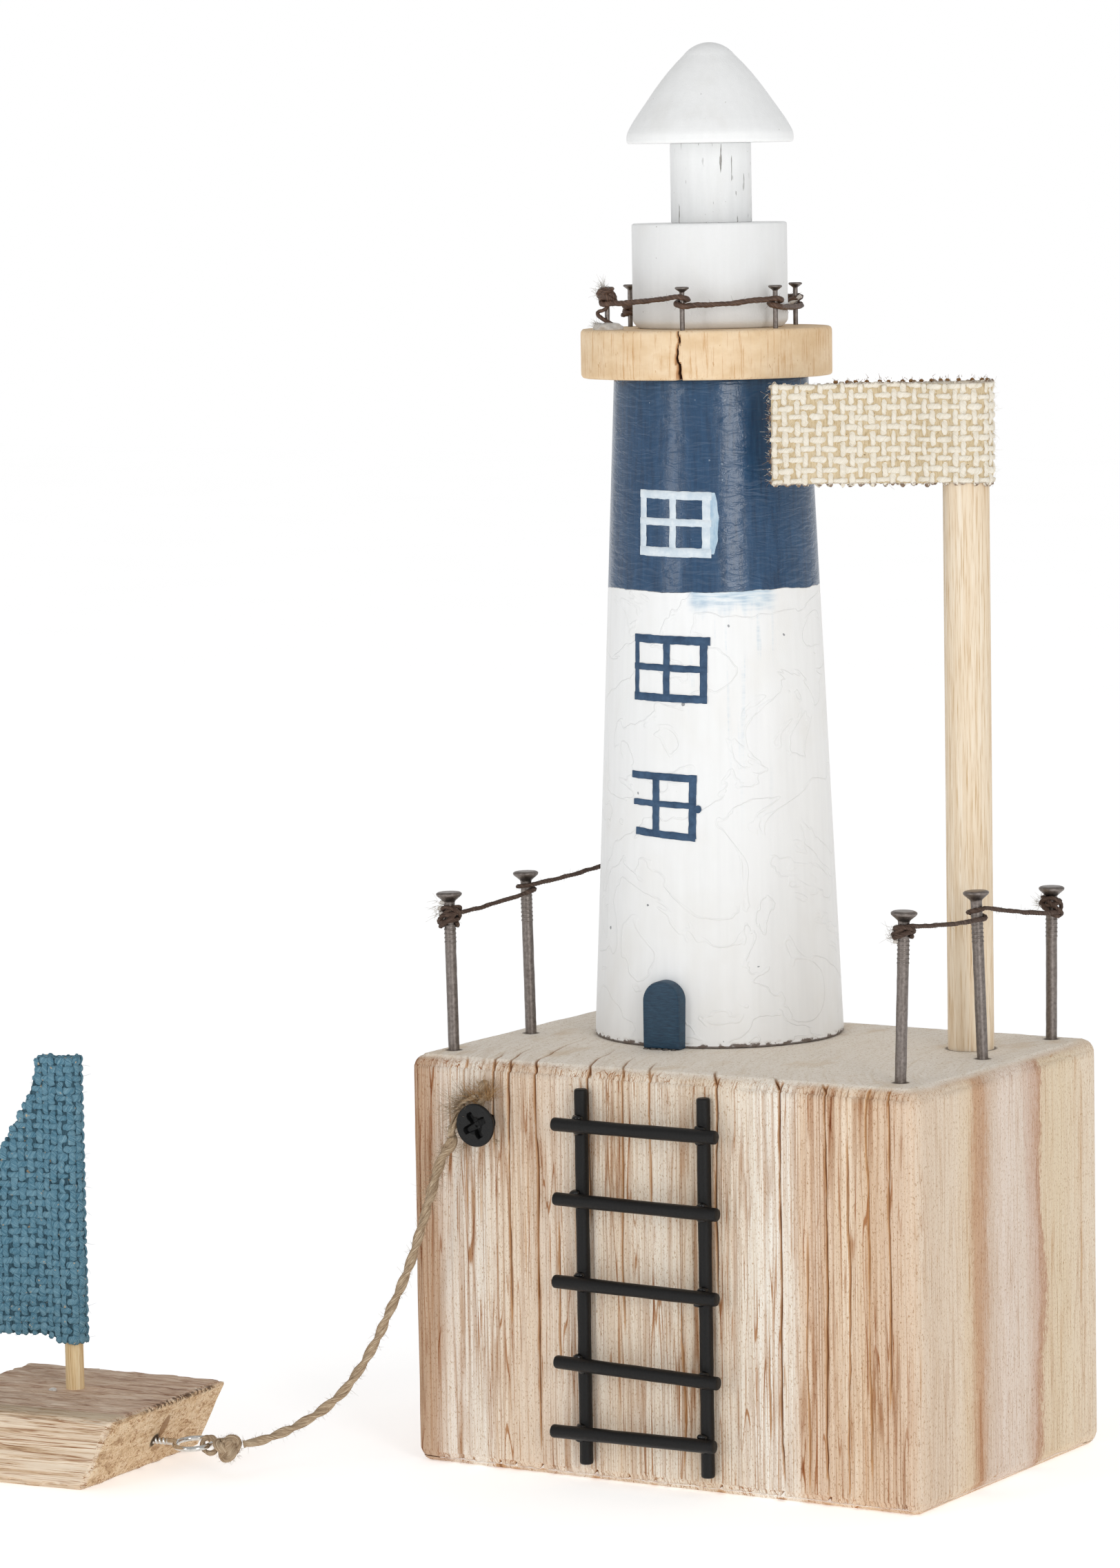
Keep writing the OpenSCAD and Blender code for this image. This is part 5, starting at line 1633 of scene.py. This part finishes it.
def add_tether_wrap():
    cord, frayed = Shape(), Shape()
    path = resample(smooth_path(WRAP, 8), 0.4)
    twisted(cord, path, 1.25, plies=2, pitch=9.5, sides=26, depth=0.38, rough=0.12, seed=341)
    fuzz(cord, path, 1.2, 12.0, 1.8)
    for k, bends in enumerate(LOOSE_PLIES):
        strand = resample(smooth_path(bends, 8), 0.35)
        twisted(cord, strand, 0.62, 2, 3.6, 14, 0.36, 0.2, 342 + k)
        fuzz(cord, strand, 0.5, 8.0, 1.4)
    for start, way, count, length in WRAP_ENDS:
        tuft(cord, start, way, count, length, 0.55, 0.045, 0.6)
    cord.build("tether_wrap_cord", JUTE, "root", "jute", replaces=["tether_wrap"])
    for start, way, count, length in FRAYED_ENDS:
        tuft(frayed, start, way, count, length, 0.36, 0.05, 0.4)
    frayed.build("tether_wrap_tuft", JUTE_TUFT, "root", "jute")


def add_screw_eye():
    ring_r, wire_r, ring_x = 3.95, 0.56, 30.45

    def place(x, y, z):
        y, z = rotated(y, z, 6)
        return xyz(*boat_place(x, y), z + EYE_Z)

    shape = Shape()
    a = circle(120)
    a = np.append(a, a[0])[:, None]
    b = circle(22)
    wide = ring_r + wire_r * np.cos(b)
    shape.grid(place(ring_x + wide * np.cos(a), wide * np.sin(a), wire_r * np.sin(b)), closed_u=True,
               caps=False)
    x = np.arange(14.0, ring_x - ring_r + 0.3, 0.09)[:, None]
    cut = 0.13 * clamp((24.6 - x) / 0.6)
    around = 0.74 + cut * (np.cos(2 * np.pi * x / 0.95 - b) - 0.3)
    shape.grid(place(x, around * np.cos(b), around * np.sin(b)), closed_u=True)
    shape.build("screw_eye_wire", ZINC, "boat", "zinc_steel", sharp=60, replaces=["screw_eye"])


def add_boat_glue():
    glue = Shape()
    for x, y, wide, seed in ((-3.6, -1.2, 1.0, 14), (-2.8, -1.9, 0.6, 20)):
        drop(glue, (*boat_place(x, y), HULL[2] - 0.1), wide, 0.45, seed, 8)
    glue.build("mast_glue", CLEAR_GLUE, "boat", "hot_glue")


def dress_dowels():
    for piece in scene.objects:
        if piece.type == "MESH" and piece.name.split(".")[0] in ("base_dowel", "centre_dowel"):
            piece.data.materials.clear()
            piece.data.materials.append(DOWEL)


# ---------------------------------------------------------------- floor and light

ROOM_LIGHT = 0.58
# Name, azimuth from straight in front towards +X, distance, height, size and power
STUDIO_LIGHTS = [("key", 52, 1.45, 0.45, (0.34, 0.8), 4.8), ("strip", -16, 1.35, 0.40, (0.20, 0.7), 2.0)]


def add_floor():
    mesh = bpy.data.meshes.new("floor")
    half = 4.0
    mesh.from_pydata([(-half, -half, 0), (half, -half, 0), (half, half, 0), (-half, half, 0)], [],
                     [(0, 1, 2, 3)])
    f = Finish("floor_paper", roughness=0.9, specular=0.0)
    tone = f.noise(f.mm, (0.01, 0.01, 0.01), detail=1)
    f.colour(f.ramp(tone, [(0.0, "FBFBFB"), (1.0, "FEFEFE")]))
    f.shader.inputs["Emission Color"].default_value = (1, 1, 1, 1)
    f.shader.inputs["Emission Strength"].default_value = 0.42
    mesh.materials.append(f.material)
    floor = bpy.data.objects.new("floor", mesh)
    scene.collection.objects.link(floor)


def add_light(name, place, aim, size, power):
    data = bpy.data.lights.new(name, "AREA")
    data.shape = "RECTANGLE"
    data.size, data.size_y = size
    data.energy = power
    lamp = bpy.data.objects.new(name, data)
    lamp.location = place
    lamp.rotation_euler = (Vector(aim) - Vector(place)).to_track_quat("-Z", "Y").to_euler()
    scene.collection.objects.link(lamp)


def add_studio():
    """An even room that is brightest behind the object, with a tall window on either side of the camera."""
    world = bpy.data.worlds.new("studio")
    world.use_nodes = True
    tree = world.node_tree
    ahead = tree.nodes.new("ShaderNodeVectorMath")
    ahead.operation = "DOT_PRODUCT"
    ahead.inputs[1].default_value = (-math.sin(CAMERA_AIM), math.cos(CAMERA_AIM), 0.0)
    tree.links.new(tree.nodes.new("ShaderNodeTexCoord").outputs["Generated"], ahead.inputs[0])
    glow = tree.nodes.new("ShaderNodeMapRange")
    glow.interpolation_type = "SMOOTHSTEP"
    glow.inputs["From Min"].default_value = 0.80
    glow.inputs["From Max"].default_value = 0.965
    glow.inputs["To Min"].default_value = ROOM_LIGHT
    glow.inputs["To Max"].default_value = 1.0
    tree.links.new(ahead.outputs["Value"], glow.inputs["Value"])
    background = tree.nodes["Background"]
    background.inputs["Color"].default_value = (1, 1, 1, 1)
    tree.links.new(glow.outputs[0], background.inputs["Strength"])
    scene.world = world
    scene.view_settings.view_transform = "Standard"
    for name, azimuth, away, height, size, power in STUDIO_LIGHTS:
        a = math.radians(azimuth)
        add_light(name, (away * math.sin(a), -away * math.cos(a), height), (0, 0, 0.13), size, power)


add_flag()
add_sail()
add_posts()
add_ladder()
add_tether_screw()
add_tether_wrap()
add_screw_eye()
add_boat_glue()
dress_dowels()
add_floor()
add_studio()
